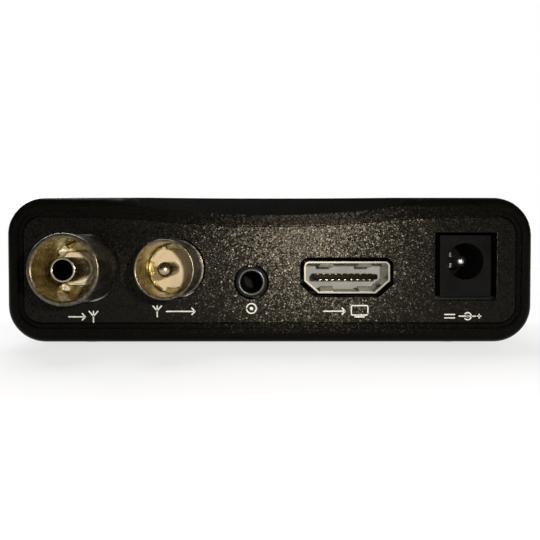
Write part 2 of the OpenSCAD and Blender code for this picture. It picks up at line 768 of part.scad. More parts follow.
module hd_socket_tongue() color([0.06, 0.06, 0.06]) in_case()
    along_y(hd_block_y, hd_tongue_y) window_shape(hd_x, hd_z, tongue_w, tongue_t);

// Contacts lie on both faces of the tongue, and those below stand between those above
module hd_socket_contacts() color([0.85, 0.72, 0.4]) in_case() for (i = [0:contact_count - 1]) {
    pitch = tongue_w / (contact_count + 2);
    x = hd_x + (i - (contact_count - 1) / 2) * pitch;
    z = i % 2 ? hd_z - tongue_t / 2 - contact_t : hd_z + tongue_t / 2;
    block([x - contact_w / 2, hd_block_y, z], [x + contact_w / 2, hd_tongue_y - contact_w, z + contact_t]);
}

// Power jack

jack_face_y = -0.5;
jack_wall = 1.2;
jack_pin_sink = 2.3;
jack_pin_y = jack_face_y - jack_pin_sink;
jack_spring_w = 1.6;
jack_spring_t = 0.4;
jack_slot_d = 0.6;

module power_jack_body() color([0.08, 0.08, 0.08]) in_case() difference() {
    block([jack_x - jack_w / 2, jack_face_y - jack_d, board_z],
        [jack_x + jack_w / 2, jack_face_y, jack_base_z + jack_h]);
    rod(jack_x, jack_z, jack_bore / 2, jack_face_y - jack_d + jack_wall, cut);
    translate([jack_x + jack_bore / 2, jack_face_y, jack_z])
        block([-jack_slot_d, jack_wall - jack_d, -jack_spring_w / 2 - fit],
            [jack_slot_d, -jack_wall, jack_spring_w / 2 + fit]);
}

module power_jack_pin() color([0.8, 0.8, 0.78]) in_case() {
    rod(jack_x, jack_z, jack_pin_d / 2, jack_face_y - jack_d + jack_wall, jack_pin_y - jack_pin_d / 2);
    turned(jack_x, jack_z) intersection() {
        translate([0, jack_pin_y - jack_pin_d / 2]) circle(d = jack_pin_d);
        translate([0, jack_pin_y - jack_pin_d / 2]) square(jack_pin_d / 2);
    }
}

module power_jack_spring() color([0.78, 0.74, 0.6]) in_case()
    translate([jack_x + jack_bore / 2 + jack_slot_d, jack_face_y, jack_z])
        block([-jack_spring_t, jack_wall - jack_d, -jack_spring_w / 2], [0, -2 * jack_wall, jack_spring_w / 2]);

// Data socket on the front

data_t = 0.3;
data_face_y = 0.2;
data_block_d = 3;
data_tongue_t = 1.84;
data_tongue_side = 0.8;
data_tongue_w = data_w - 2 * data_t - 2 * data_tongue_side;
data_tongue_rise = 0.5;
data_tongue_sink = 1;
data_contact_w = 1;

module data_socket_shell() color([0.76, 0.76, 0.75]) in_case() front_side() difference() {
    along_y(-data_face_y - data_d, -data_face_y) round_shape(data_x, data_z, data_w, data_h, data_corner);
    along_y(-data_face_y - data_d - cut, cut)
        window_shape(data_x, data_z, data_w - 2 * data_t, data_h - 2 * data_t);
}

module data_socket_core() color([0.07, 0.07, 0.07]) in_case() front_side() {
    along_y(-data_face_y - data_d, -data_face_y - data_d + data_block_d)
        window_shape(data_x, data_z, data_w - 2 * data_t, data_h - 2 * data_t);
    along_y(-data_face_y - data_d + data_block_d - fit, -data_face_y - data_tongue_sink)
        window_shape(data_x, data_z + data_tongue_rise, data_tongue_w, data_tongue_t);
}

data_contact_count = 4;
data_contact_pitch = (data_tongue_w - data_contact_w) / data_contact_count;

module data_socket_contacts() color([0.85, 0.72, 0.4]) in_case() front_side()
    for (i = [0:data_contact_count - 1]) translate([
        data_x + (i - (data_contact_count - 1) / 2) * data_contact_pitch, 0,
        data_z + data_tongue_rise - data_tongue_t / 2
    ])
        block([-data_contact_w / 2, -data_face_y - data_d + data_block_d, -contact_t],
            [data_contact_w / 2, -data_face_y - data_tongue_sink - data_contact_w, 0]);

// Front board with its display, lamps and switches

front_board_t = 1.2;
front_board_gap = 0.4;
front_board_y = board_front - front_board_t - front_board_gap;
front_board_low = 3.2;
front_board_side = 4.2;

module front_board() color([0.05, 0.25, 0.12]) in_case() front_side()
    block([front_board_side - case_w / 2, -front_board_y - front_board_t, front_board_low],
        [tab_x - notch_gap, -front_board_y, case_h - front_board_low]);

header_count = 8;
header_pitch = 2.54;
header_t = 2.5;
header_pin_w = 0.6;
header_x = window_x;

module header_block() color([0.06, 0.06, 0.06]) in_case() front_side()
    block([header_x - header_count * header_pitch / 2, -board_front - header_t - notch_gap, board_z],
        [header_x + header_count * header_pitch / 2, -board_front - notch_gap, board_z + header_t]);

module header_pins() color([0.85, 0.75, 0.45]) in_case() front_side() for (i = [0:header_count - 1])
    translate([header_x + (i - (header_count - 1) / 2) * header_pitch, 0, board_z + header_t / 2])
        block([-header_pin_w / 2, -board_front - notch_gap, -header_pin_w / 2],
            [header_pin_w / 2, -front_board_y - front_board_t, header_pin_w / 2]);

lamp_gap = 0.3;
ir_w = 4.4;
ir_h = 6;
ir_t = 4;
ir_lens_r = 1.9;
ir_x = window_x + window_w / 2 - window_rim - ir_w / 2 - lamp_gap;
led_r = 1;
led_flange_r = 1.3;
led_flange_t = 0.8;
led_l = 5;
led_x = window_x - window_w / 2 + window_rim + led_flange_r + lamp_gap;
display_gap = 0.1;
display_w = ir_x - ir_w / 2 - led_x - led_flange_r - 2 * display_gap;
display_inset = 0.3;
display_h = window_h - 2 * display_inset;
digit_count = 4;
digit_margin = 0.5;
digit_h = window_h - 2 * window_rim - 2 * digit_margin;
display_rim = 0.7;
digit_pitch = (display_w - 2 * display_rim) / digit_count;
digit_w_share = 0.75;
digit_w = digit_pitch * digit_w_share;
segment_w = 0.9;
segment_t = 0.1;
segment_gap = 0.15;
display_face = flange_back + fit;
display_x = (led_x + led_flange_r + ir_x - ir_w / 2) / 2;

module display_module() color([0.2, 0.2, 0.2]) in_case() front_side()
    block([display_x - display_w / 2, -front_board_y, window_z - display_h / 2],
        [display_x + display_w / 2, -display_face, window_z + display_h / 2]);

// One bar of a digit, at x and z, upright or lying
module digit_bar(x, z, l, upright)
    translate([x, z]) rotate(upright ? 90 : 0) square([l, segment_w], center = true);

module digit_shape() {
    bar_w = digit_w - 2 * (segment_w + segment_gap);
    bar_h = digit_h / 2 - segment_w - segment_gap;
    for (k = [-1:1]) digit_bar(0, k * (digit_h - segment_w) / 2, bar_w, false);
    for (sx = [-1, 1], sz = [-1, 1]) digit_bar(sx * (digit_w - segment_w) / 2, sz * digit_h / 4, bar_h, true);
}

module display_digits() color([0.75, 0.12, 0.1]) in_case() front_side() for (i = [0:digit_count - 1])
    along_y(-display_face, -display_face + segment_t)
        translate([display_x + (i - (digit_count - 1) / 2) * digit_pitch, window_z]) digit_shape();

module ir_receiver() color([0.08, 0.05, 0.06]) in_case() front_side() {
    block([ir_x - ir_w / 2, -front_board_y, window_z - ir_h / 2],
        [ir_x + ir_w / 2, -front_board_y + ir_t, window_z + ir_h / 2]);
    turned(ir_x, window_z) translate([0, -front_board_y + ir_t - fit]) intersection() {
        circle(ir_lens_r);
        square(ir_lens_r);
    }
}

module standby_led() color([0.8, 0.2, 0.15]) in_case() front_side() {
    rod(led_x, window_z, led_flange_r, -front_board_y, -front_board_y + led_flange_t);
    rod(led_x, window_z, led_r, -front_board_y, -front_board_y + led_l - led_r);
    turned(led_x, window_z) translate([0, -front_board_y + led_l - led_r]) intersection() {
        circle(led_r);
        square(led_r);
    }
}

// Keys: cap, flange behind the panel, and stem on the switch's plunger

switch_w = 6;
switch_h = 3.6;
switch_well_r = 1.9;
plunger_r = 1.7;
plunger_in = 2;
plunger_out = 0.9;
plunger_face = -front_board_y + switch_h + plunger_out;
key_flange_w = 6.2;
key_flange_h = 6.4;
key_flange_t = 0.9;
stem_r = 1.5;
key_round = 0.5;
key_dish_r = 6;
key_dish_d = 0.25;

module key_switches() color([0.1, 0.1, 0.1]) in_case() front_side() for (i = [-1:1]) at_keys(i) difference() {
    block([-switch_w / 2, -front_board_y, key_z - switch_w / 2],
        [switch_w / 2, -front_board_y + switch_h, key_z + switch_w / 2]);
    rod(0, key_z, switch_well_r, -front_board_y + switch_h - plunger_in - key_travel - fit, case_d);
}

module plunger(i) color([0.85, 0.85, 0.83]) in_case() front_side() at_keys(i)
    rod(0, key_z, plunger_r, -front_board_y + switch_h - plunger_in, plunger_face);

module key(i) color([0.1, 0.1, 0.105]) in_case() front_side() at_keys(i) {
    difference() {
        along_y(-flange_back - fit, key_out) round_shape(0, key_z, key_w, key_h, key_round);
        translate([0, key_out + key_dish_r - key_dish_d, key_z]) sphere(key_dish_r);
    }
    along_y(-flange_back - key_flange_t - fit, -flange_back - fit)
        window_shape(0, key_z, key_flange_w, key_flange_h);
    rod(0, key_z, stem_r, plunger_face, -flange_back - key_flange_t);
}

module power_plunger() plunger(-1);
module channel_down_plunger() plunger(0);
module channel_up_plunger() plunger(1);
module power_key() key(-1);
module channel_down_key() key(0);
module channel_up_key() key(1);

// Parts on the main board

chip_x_share = -0.022;
chip_y_share = -0.45;
chip_w = 14;
chip_t = 1.3;
chip_base_w = 15;
chip_base_t = 0.5;

// Places a part on the board's upper face, by shares of the case's width and depth
module on_board(x_share, y_share) in_case() translate([case_w * x_share, case_d * y_share, board_z]) children();

module slab(w, d, h) translate([-w / 2, -d / 2, 0]) cube([w, d, h]);

module decoder_chip() color([0.08, 0.08, 0.08]) on_board(chip_x_share, chip_y_share) {
    slab(chip_base_w, chip_base_w, chip_base_t);
    translate([0, 0, chip_base_t - fit]) slab(chip_w, chip_w, chip_t);
}

flash_x_share = 0.152;
flash_y_share = -0.57;
flash_w = 4;
flash_l = 5;
flash_t = 1.5;
lead_w = 0.4;
lead_l = 1;
lead_t = 0.2;
lead_pitch = 1.27;

module flash_chip() color([0.08, 0.08, 0.08]) on_board(flash_x_share, flash_y_share)
    translate([0, 0, lead_t]) slab(flash_w, flash_l, flash_t);

lead_count = 4;

module flash_leads() color([0.75, 0.75, 0.75]) on_board(flash_x_share, flash_y_share)
    for (i = [0:lead_count - 1], s = [-1, 1])
    translate([s * (flash_w + lead_l) / 2, (i - (lead_count - 1) / 2) * lead_pitch, 0]) {
        slab(lead_l, lead_w, lead_t);
        translate([-s * (lead_l - lead_t) / 2, 0, 0]) slab(lead_t, lead_w, flash_t / 2);
    }

crystal_x_share = 0.152;
crystal_y_share = -0.43;
crystal_w = 4.6;
crystal_l = 6.6;
crystal_h = 3.4;

module clock_crystal() color([0.78, 0.78, 0.76]) on_board(crystal_x_share, crystal_y_share) {
    slab(crystal_w, crystal_l, crystal_h);
    for (s = [-1, 1]) translate([0, s * crystal_l / 2, 0]) cylinder(d = crystal_w, h = crystal_h);
}

coil_x_share = -0.26;
coil_y_shares = [-0.367, -0.517];
coil_d = 6;
coil_h = 3;
coil_waist_d = 4.6;
coil_rim = 0.7;

module power_inductors() color([0.25, 0.25, 0.26]) for (y = coil_y_shares) on_board(coil_x_share, y) {
    cylinder(d = coil_d, h = coil_rim);
    cylinder(d = coil_waist_d, h = coil_h);
    translate([0, 0, coil_h - coil_rim]) cylinder(d = coil_d, h = coil_rim);
}

regulator_w = 3;
regulator_l = 1.7;
regulator_h = 1.1;

module voltage_regulators() color([0.09, 0.09, 0.09]) for (y = coil_y_shares) on_board(coil_x_share, y)
    translate([coil_d, 0, 0]) slab(regulator_l, regulator_w, regulator_h);

capacitor_x_shares = [-0.37, -0.37, -0.174];
capacitor_y_shares = [-0.567, -0.307, -0.667];
capacitor_d = 6.3;
capacitor_h = 7.6;
sleeve_t = 0.15;
cap_sleeve_h = 6.8;
capacitor_dent = 0.25;

module at_capacitors() for (i = [0:len(capacitor_x_shares) - 1])
    on_board(capacitor_x_shares[i], capacitor_y_shares[i]) children();

module filter_capacitors() color([0.8, 0.8, 0.8]) at_capacitors()
    difference() {
        cylinder(d = capacitor_d, h = capacitor_h);
        for (a = [0, 90]) rotate(a) translate([0, 0, capacitor_h - capacitor_dent])
            slab(capacitor_d / 2, capacitor_dent, capacitor_dent + cut);
    }

module capacitor_sleeves() color([0.1, 0.1, 0.2]) at_capacitors()
    difference() {
        cylinder(d = capacitor_d + 2 * sleeve_t, h = cap_sleeve_h);
        translate([0, 0, -cut]) cylinder(d = capacitor_d, h = cap_sleeve_h + 2 * cut);
    }

top_cover();
bottom_cover();
rear_panel();
front_panel();
display_window();
feet();
case_screws();
main_board();
tuner_case();
tuner_lid();
rf_in_shell();
rf_in_insulator();
rf_in_contact();
rf_out_shell();
rf_out_insulator();
rf_out_pin();
av_jack_body();
av_jack_springs();
hd_socket_shell();
hd_socket_block();
hd_socket_tongue();
hd_socket_contacts();
power_jack_body();
power_jack_pin();
power_jack_spring();
data_socket_shell();
data_socket_core();
data_socket_contacts();
front_board();
header_block();
header_pins();
display_module();
display_digits();
ir_receiver();
standby_led();
key_switches();
power_plunger();
channel_down_plunger();
channel_up_plunger();
power_key();
channel_down_key();
channel_up_key();
decoder_chip();
flash_chip();
flash_leads();
clock_crystal();
power_inductors();
voltage_regulators();
filter_capacitors();
capacitor_sleeves();
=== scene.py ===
import json
import math

import bmesh
import bpy
import numpy as np
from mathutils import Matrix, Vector

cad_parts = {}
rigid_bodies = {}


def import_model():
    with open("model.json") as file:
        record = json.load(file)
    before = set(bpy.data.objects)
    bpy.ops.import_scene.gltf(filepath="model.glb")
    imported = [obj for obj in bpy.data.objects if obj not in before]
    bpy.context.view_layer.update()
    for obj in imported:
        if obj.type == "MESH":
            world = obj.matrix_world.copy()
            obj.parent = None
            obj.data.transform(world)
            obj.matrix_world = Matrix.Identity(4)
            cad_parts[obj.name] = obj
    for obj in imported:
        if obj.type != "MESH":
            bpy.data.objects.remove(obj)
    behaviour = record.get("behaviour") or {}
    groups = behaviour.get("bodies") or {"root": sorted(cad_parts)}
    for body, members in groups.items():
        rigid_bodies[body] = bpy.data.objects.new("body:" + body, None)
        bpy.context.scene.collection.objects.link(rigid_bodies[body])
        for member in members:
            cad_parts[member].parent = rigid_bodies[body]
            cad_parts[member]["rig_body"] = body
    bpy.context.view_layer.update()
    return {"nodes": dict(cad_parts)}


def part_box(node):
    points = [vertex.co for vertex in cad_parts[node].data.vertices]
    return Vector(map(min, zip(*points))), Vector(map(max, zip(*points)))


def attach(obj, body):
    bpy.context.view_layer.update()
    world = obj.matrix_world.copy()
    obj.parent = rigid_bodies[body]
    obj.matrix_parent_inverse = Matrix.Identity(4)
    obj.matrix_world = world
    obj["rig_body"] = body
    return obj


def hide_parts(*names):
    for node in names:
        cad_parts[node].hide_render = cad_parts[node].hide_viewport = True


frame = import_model()
nodes = frame["nodes"]
scene = bpy.context.scene
print("frame loaded:", len(nodes), "nodes")

# Sizes below are in millimetres from the case: y is 0 at the rear rim, z is 0 at the underside of the case
mm = 0.001
case = {"rearRim": 24.4, "under": 0.8, "width": 92.0, "height": 25.4, "depth": 60.0}

# The middle (x, z) of each socket on the rear
middles = {"aerialIn": (32.2, 13.0048), "aerialOut": (16.56, 13.0048), "jack": (3.22, 10.6),
           "picture": (-13.432, 11.4), "power": (-34.224, 14.2)}


def toFrame(points):
    return (np.asarray(points, float) + [0, case["rearRim"], case["under"]]) * mm


# Camera, with its place and target in frame millimetres

camera = {"place": (0.4, 133.9, 16.0), "target": (0.0, 24.4, 13.5), "lens": 42.0, "sensor": 36.0,
          "near": 5.0, "far": 20000.0}
cameraData = bpy.data.cameras.new("camera")
cameraData.lens = camera["lens"]
cameraData.sensor_width = camera["sensor"]
cameraData.clip_start = camera["near"] * mm
cameraData.clip_end = camera["far"] * mm
cameraObject = bpy.data.objects.new("camera", cameraData)
scene.collection.objects.link(cameraObject)
cameraObject.location = Vector(camera["place"]) * mm
aim = Vector(camera["target"]) - Vector(camera["place"])
cameraObject.rotation_euler = aim.to_track_quat("-Z", "Y").to_euler()
scene.camera = cameraObject
scene.view_settings.view_transform = "Standard"


# Helpers for finishes: each adds a node to the tree and gives back the socket that comes out of it

# A socket is fed by another socket or by a plain value, and a colour gets its alpha
def feed(tree, socket, value):
    if isinstance(value, bpy.types.NodeSocket):
        tree.links.new(value, socket)
    elif isinstance(value, tuple) and len(value) < len(socket.default_value):
        socket.default_value = (*value, 1)
    else:
        socket.default_value = value


def mathOf(tree, kind, *values):
    node = tree.nodes.new("ShaderNodeMath")
    node.operation = kind
    for socket, value in zip(node.inputs, values):
        feed(tree, socket, value)
    return node.outputs["Value"]


def vectorOf(tree, kind, *values):
    node = tree.nodes.new("ShaderNodeVectorMath")
    node.operation = kind
    for socket, value in zip(node.inputs, values):
        feed(tree, socket, value)
    return node.outputs["Value" if kind == "LENGTH" else "Vector"]


# A mixed with B by a factor, where kind is FLOAT, VECTOR or RGBA
def mixOf(tree, kind, factor, a, b, blend="MIX"):
    mix = tree.nodes.new("ShaderNodeMix")
    mix.data_type = kind
    mix.blend_type = blend
    feed(tree, mix.inputs["Factor"], factor)
    feed(tree, mix.inputs["A"], a)
    feed(tree, mix.inputs["B"], b)
    return mix.outputs["Result"]


def noiseOf(tree, vector, scale, detail=3.0, rough=0.55):
    noise = tree.nodes.new("ShaderNodeTexNoise")
    noise.inputs["Scale"].default_value = scale
    noise.inputs["Detail"].default_value = detail
    noise.inputs["Roughness"].default_value = rough
    tree.links.new(vector, noise.inputs["Vector"])
    return noise.outputs["Fac"]


# A random colour for each cell
def cellsOf(tree, vector, scale):
    cells = tree.nodes.new("ShaderNodeTexVoronoi")
    cells.inputs["Scale"].default_value = scale
    tree.links.new(vector, cells.inputs["Vector"])
    return cells.outputs["Color"]


def rangeOf(tree, value, low, high, newLow, newHigh):
    span = tree.nodes.new("ShaderNodeMapRange")
    for name, number in zip(("From Min", "From Max", "To Min", "To Max"), (low, high, newLow, newHigh)):
        span.inputs[name].default_value = number
    tree.links.new(value, span.inputs["Value"])
    return span.outputs["Result"]


def bumpOf(tree, height, strength, depth):
    bump = tree.nodes.new("ShaderNodeBump")
    bump.inputs["Strength"].default_value = strength
    bump.inputs["Distance"].default_value = depth * mm
    tree.links.new(height, bump.inputs["Height"])
    return bump.outputs["Normal"]


def stretchOf(tree, vector, stretch):
    mapping = tree.nodes.new("ShaderNodeMapping")
    mapping.inputs["Scale"].default_value = stretch
    tree.links.new(vector, mapping.inputs["Vector"])
    return mapping.outputs["Vector"]


def alongY(tree, vector):
    parts = tree.nodes.new("ShaderNodeSeparateXYZ")
    tree.links.new(vector, parts.inputs["Vector"])
    return parts.outputs["Y"]


# How much a surface faces along y
def facingY(tree):
    return alongY(tree, tree.nodes.new("ShaderNodeTexCoord").outputs["Normal"])


# Distance from the line along y through the middle of a socket
def radiusOf(tree, vector, middle):
    x, z = middle
    mapping = tree.nodes.new("ShaderNodeMapping")
    mapping.inputs["Location"].default_value = (-x * mm, 0, -(z + case["under"]) * mm)
    tree.links.new(vector, mapping.inputs["Vector"])
    return vectorOf(tree, "LENGTH", vectorOf(tree, "MULTIPLY", mapping.outputs["Vector"], (1, 0, 1)))


# What feeds a shader's socket so far
def feeding(shader, name):
    return shader.inputs[name].links[0].from_socket


# A finish is two colours mixed by a soft noise, a roughness that wanders, and a fine bump. Grain and cloud
# are in cells per metre, and stretch draws the grain out along an axis, as turning or drawing does. A look
# without a tint gets its colour afterwards.
usualLook = {"rough": (0.35, 0.5), "metal": 0, "gloss": 0.5, "bump": 0, "depth": 0.02, "grain": 2600,
             "grainDetail": 4, "cloud": 260, "cloudShare": 0.55, "blend": (0.36, 0.64), "swing": (0.3, 0.7),
             "stretch": (1, 1, 1)}
extraSockets = {"clear": "Transmission Weight", "coat": "Coat Weight", "ior": "IOR"}
finishes = {}


def newFinish(name, values):
    look = {**usualLook, **values}
    material = bpy.data.materials.new(name)
    material.use_nodes = True
    finishes[name] = material
    tree = material.node_tree
    shader = tree.nodes["Principled BSDF"]
    place = tree.nodes.new("ShaderNodeTexCoord").outputs["Object"]
    grain = noiseOf(tree, stretchOf(tree, place, look["stretch"]), look["grain"], look["grainDetail"])
    if "tint" in look:
        cloud = mathOf(tree, "MULTIPLY", noiseOf(tree, place, look["cloud"]), look["cloudShare"])
        both = mathOf(tree, "ADD", cloud, mathOf(tree, "MULTIPLY", grain, 1 - look["cloudShare"]))
        colour = mixOf(tree, "RGBA", rangeOf(tree, both, *look["blend"], 0, 1), look["base"], look["tint"])
        tree.links.new(colour, shader.inputs["Base Color"])
    tree.links.new(rangeOf(tree, grain, *look["swing"], *look["rough"]), shader.inputs["Roughness"])
    if look["bump"]:
        tree.links.new(bumpOf(tree, grain, look["bump"], look["depth"]), shader.inputs["Normal"])
    shader.inputs["Metallic"].default_value = look["metal"]
    shader.inputs["Specular IOR Level"].default_value = look["gloss"]
    for key, socket in extraSockets.items():
        if key in look:
            shader.inputs[socket].default_value = look[key]
    return tree, shader, place


plainLooks = {
    "foot_rubber": {"base": (0.018, 0.018, 0.018), "tint": (0.03, 0.029, 0.028), "rough": (0.7, 0.9),
                    "bump": 0.3},
    "screw_steel": {"base": (0.42, 0.42, 0.43), "tint": (0.55, 0.55, 0.56), "metal": 1,
                    "rough": (0.25, 0.45), "bump": 0.1},
    "tinned_sheet": {"base": (0.62, 0.62, 0.6), "tint": (0.5, 0.5, 0.48), "metal": 1, "rough": (0.28, 0.5),
                     "stretch": (0.25, 1, 1), "bump": 0.12, "depth": 0.01},
    "cream_insulator": {"base": (0.62, 0.53, 0.36), "tint": (0.7, 0.62, 0.45), "rough": (0.45, 0.6),
                        "bump": 0.25, "depth": 0.03},
    "beige_insulator": {"base": (0.52, 0.42, 0.27), "tint": (0.6, 0.5, 0.34), "rough": (0.45, 0.6),
                        "bump": 0.25, "depth": 0.03},
    "contact_brass": {"base": (0.44, 0.36, 0.22), "tint": (0.34, 0.28, 0.18), "metal": 1,
                      "rough": (0.22, 0.38), "stretch": (1, 0.15, 1), "bump": 0.15, "depth": 0.01},
    "black_moulding": {"base": (0.0035, 0.0035, 0.0035), "tint": (0.008, 0.0075, 0.007),
                       "rough": (0.3, 0.45), "bump": 0.3, "depth": 0.015, "gloss": 0.025},
    # Jack lip: lighter than the black moulding, a painted highlight of the nose's chamfer
    "jack_lip": {"base": (0.05, 0.05, 0.05), "tint": (0.08, 0.078, 0.075), "rough": (0.15, 0.25),
                 "bump": 0.1, "gloss": 0.6},
    # Crimps: a painted glint, a near-white gold much lighter than the barrel metal they are squeezed from
    "crimp_painted_glint": {"base": (0.95, 0.88, 0.62), "tint": (1.0, 0.95, 0.75), "metal": 0.35,
                    "rough": (0.2, 0.4), "bump": 0.8, "grain": 2400, "depth": 0.15},
    "grey_moulding": {"base": (0.24, 0.24, 0.225), "tint": (0.36, 0.35, 0.33), "rough": (0.5, 0.65),
                      "bump": 0.2},
    # Spring fingers: painted light, a lighter copy of the socket's steel they are bent from
    "finger_steel_painted_light": {"base": (0.5, 0.48, 0.44), "tint": (0.62, 0.6, 0.55), "metal": 0.4,
                     "rough": (0.25, 0.4), "bump": 0.3, "depth": 0.02},
    "gold_contacts": {"base": (0.75, 0.55, 0.22), "tint": (0.82, 0.64, 0.32), "metal": 1,
                      "rough": (0.18, 0.3), "bump": 0.05},
    "display_grey": {"base": (0.05, 0.05, 0.052), "tint": (0.07, 0.07, 0.07), "rough": (0.5, 0.7),
                     "bump": 0.2},
    "segment_red": {"base": (0.32, 0.05, 0.035), "tint": (0.4, 0.08, 0.05), "rough": (0.3, 0.4),
                    "bump": 0.05},
    "sensor_smoke": {"base": (0.02, 0.012, 0.014), "tint": (0.035, 0.02, 0.022), "rough": (0.12, 0.2),
                     "coat": 0.6, "bump": 0.03},
    "lamp_red": {"base": (0.55, 0.04, 0.03), "tint": (0.62, 0.08, 0.05), "rough": (0.12, 0.22), "coat": 0.7,
                 "bump": 0.03},
    "key_plastic": {"base": (0.02, 0.02, 0.021), "tint": (0.03, 0.03, 0.03), "rough": (0.36, 0.5),
                    "bump": 0.3, "grain": 5200, "depth": 0.015, "gloss": 0.4},
    "white_plunger": {"base": (0.7, 0.7, 0.67), "tint": (0.78, 0.78, 0.75), "rough": (0.4, 0.55),
                      "bump": 0.1},
    "chip_epoxy": {"base": (0.02, 0.02, 0.021), "tint": (0.035, 0.035, 0.035), "rough": (0.55, 0.75),
                   "bump": 0.35, "grain": 6000},
    "can_metal": {"base": (0.66, 0.66, 0.64), "tint": (0.58, 0.58, 0.56), "metal": 1, "rough": (0.25, 0.4),
                  "bump": 0.08},
    "capacitor_foil": {"base": (0.7, 0.7, 0.7), "tint": (0.6, 0.6, 0.6), "metal": 1, "rough": (0.3, 0.45),
                       "bump": 0.1},
    "capacitor_film": {"base": (0.02, 0.025, 0.06), "tint": (0.03, 0.035, 0.08), "rough": (0.2, 0.35),
                       "bump": 0.1, "coat": 0.3},
    "ferrite": {"base": (0.05, 0.05, 0.052), "tint": (0.08, 0.08, 0.08), "rough": (0.5, 0.7), "bump": 0.3},
    "print_ink": {"base": (0.62, 0.62, 0.58), "tint": (0.74, 0.74, 0.7), "rough": (0.5, 0.65), "bump": 0.2,
                  "grain": 5200, "depth": 0.01},
}
for name, look in plainLooks.items():
    newFinish(name, look)

# Spark-eroded plastic: a skin of fine pits, each with its own lightness, polish and direction
sparkLook = {"base": (0.003, 0.0028, 0.0026), "fleck": (0.007, 0.006, 0.0044), "fleckPower": 4.0,
             "rough": (0.2, 0.3), "gloss": 0.12, "glint": (1.0, 0.9, 0.72), "facets": 5600.0, "coarse": 0.72,
             "sway": 0.165, "pores": (3300.0, 2.5, 0.6), "poreBump": 1.0, "poreDepth": 0.006}
evenColour = (0.5, 0.5, 0.5)


# Normal = fine bump + sway x (the cell's random colour - an even one), for fine and for coarse pits
def sparkNormal(tree, place):
    look = sparkLook
    normal = bumpOf(tree, noiseOf(tree, place, *look["pores"]), look["poreBump"], look["poreDepth"])
    for scale in (look["facets"], look["facets"] * look["coarse"]):
        lean = vectorOf(tree, "SUBTRACT", cellsOf(tree, place, scale), evenColour)
        normal = vectorOf(tree, "MULTIPLY_ADD", lean, (look["sway"],) * 3, normal)
    return vectorOf(tree, "NORMALIZE", normal)


def cellPart(tree, place, channel):
    parts = tree.nodes.new("ShaderNodeSeparateColor")
    tree.links.new(cellsOf(tree, place, sparkLook["facets"]), parts.inputs["Color"])
    return parts.outputs[channel]


def sparkColour(tree, place):
    light = mathOf(tree, "POWER", cellPart(tree, place, "Red"), sparkLook["fleckPower"])
    return mixOf(tree, "RGBA", light, sparkLook["base"], sparkLook["fleck"])


tree, shader, place = newFinish("panel_plastic", sparkLook)
tree.links.new(sparkColour(tree, place), shader.inputs["Base Color"])
polish = rangeOf(tree, cellPart(tree, place, "Green"), 0, 1, *sparkLook["rough"])
tree.links.new(polish, shader.inputs["Roughness"])
tree.links.new(sparkNormal(tree, place), shader.inputs["Normal"])
# The highlights are tinted warm: painted light colour, standing for the flash's warmth
feed(tree, shader.inputs["Specular Tint"], sparkLook["glint"])

# The case has the same skin on its end faces, and a fine matt on its sides
caseLook = {"base": (0.002, 0.002, 0.002), "tint": (0.004, 0.0039, 0.0037), "rough": (0.22, 0.3),
            "gloss": 0.03, "grain": 5200.0, "matt": (6500, 2), "mattBump": 0.12, "mattDepth": 0.012,
            "endDepth": 0.9, "endFacing": 0.93}
tree, shader, place = newFinish("case_plastic", caseLook)
rearFace = mathOf(tree, "GREATER_THAN", alongY(tree, place), (case["rearRim"] - caseLook["endDepth"]) * mm)
frontFace = mathOf(tree, "LESS_THAN", alongY(tree, place),
                   (case["rearRim"] - case["depth"] + caseLook["endDepth"]) * mm)
flatOn = mathOf(tree, "GREATER_THAN", mathOf(tree, "ABSOLUTE", facingY(tree)), caseLook["endFacing"])
onEnds = mathOf(tree, "MULTIPLY", mathOf(tree, "ADD", rearFace, frontFace), flatOn)
matt = bumpOf(tree, noiseOf(tree, place, *caseLook["matt"]), caseLook["mattBump"], caseLook["mattDepth"])
tree.links.new(mixOf(tree, "VECTOR", onEnds, matt, sparkNormal(tree, place)), shader.inputs["Normal"])
tree.links.new(mixOf(tree, "RGBA", onEnds, feeding(shader, "Base Color"), sparkColour(tree, place)),
               shader.inputs["Base Color"])
# The highlights are tinted warm: painted light colour, standing for the flash's warmth
feed(tree, shader.inputs["Specular Tint"], sparkLook["glint"])

# The barrels are nickel over brass, with drawn-out wear. Their one metal is painted by distance from the
# middle: golden and lighter in the bore, partly painted flash light, and darker grey on the rim and darker
# still outside, as painted shade
barrelLook = {"metal": 0.8, "rough": (0.2, 0.34), "grain": 900, "stretch": (0.6, 1.6, 0.6), "bump": 0.22,
              "depth": 0.012, "bore": (0.46, 0.37, 0.15), "rim": (0.13, 0.115, 0.08),
              "outer": (0.1, 0.088, 0.07), "worn": (0.42, 0.36, 0.26), "wear": (1400, 4),
              "wearStretch": (1, 0.12, 1), "wearRange": (0.4, 0.6, 0, 0.9)}
for name, middle, inside, outside in (("input_barrel", middles["aerialIn"], 4.95, 5.6),
                                      ("output_barrel", middles["aerialOut"], 4.36, 4.7)):
    tree, shader, place = newFinish(name, barrelLook)
    radius = radiusOf(tree, place, middle)
    # Painted light and shade: the bore takes the lighter golden colour, and the rim the darker painted-shade
    # grey
    mouth = mixOf(tree, "RGBA", mathOf(tree, "GREATER_THAN", radius, inside * mm), barrelLook["bore"],
                  barrelLook["rim"])
    # Painted shade: the outside takes the darkest colour
    skin = mixOf(tree, "RGBA", mathOf(tree, "GREATER_THAN", radius, outside * mm), mouth, barrelLook["outer"])
    wear = noiseOf(tree, stretchOf(tree, place, barrelLook["wearStretch"]), *barrelLook["wear"])
    share = rangeOf(tree, wear, *barrelLook["wearRange"])
    worn = mixOf(tree, "RGBA", share, skin, barrelLook["worn"], "MULTIPLY")
    tree.links.new(worn, shader.inputs["Base Color"])

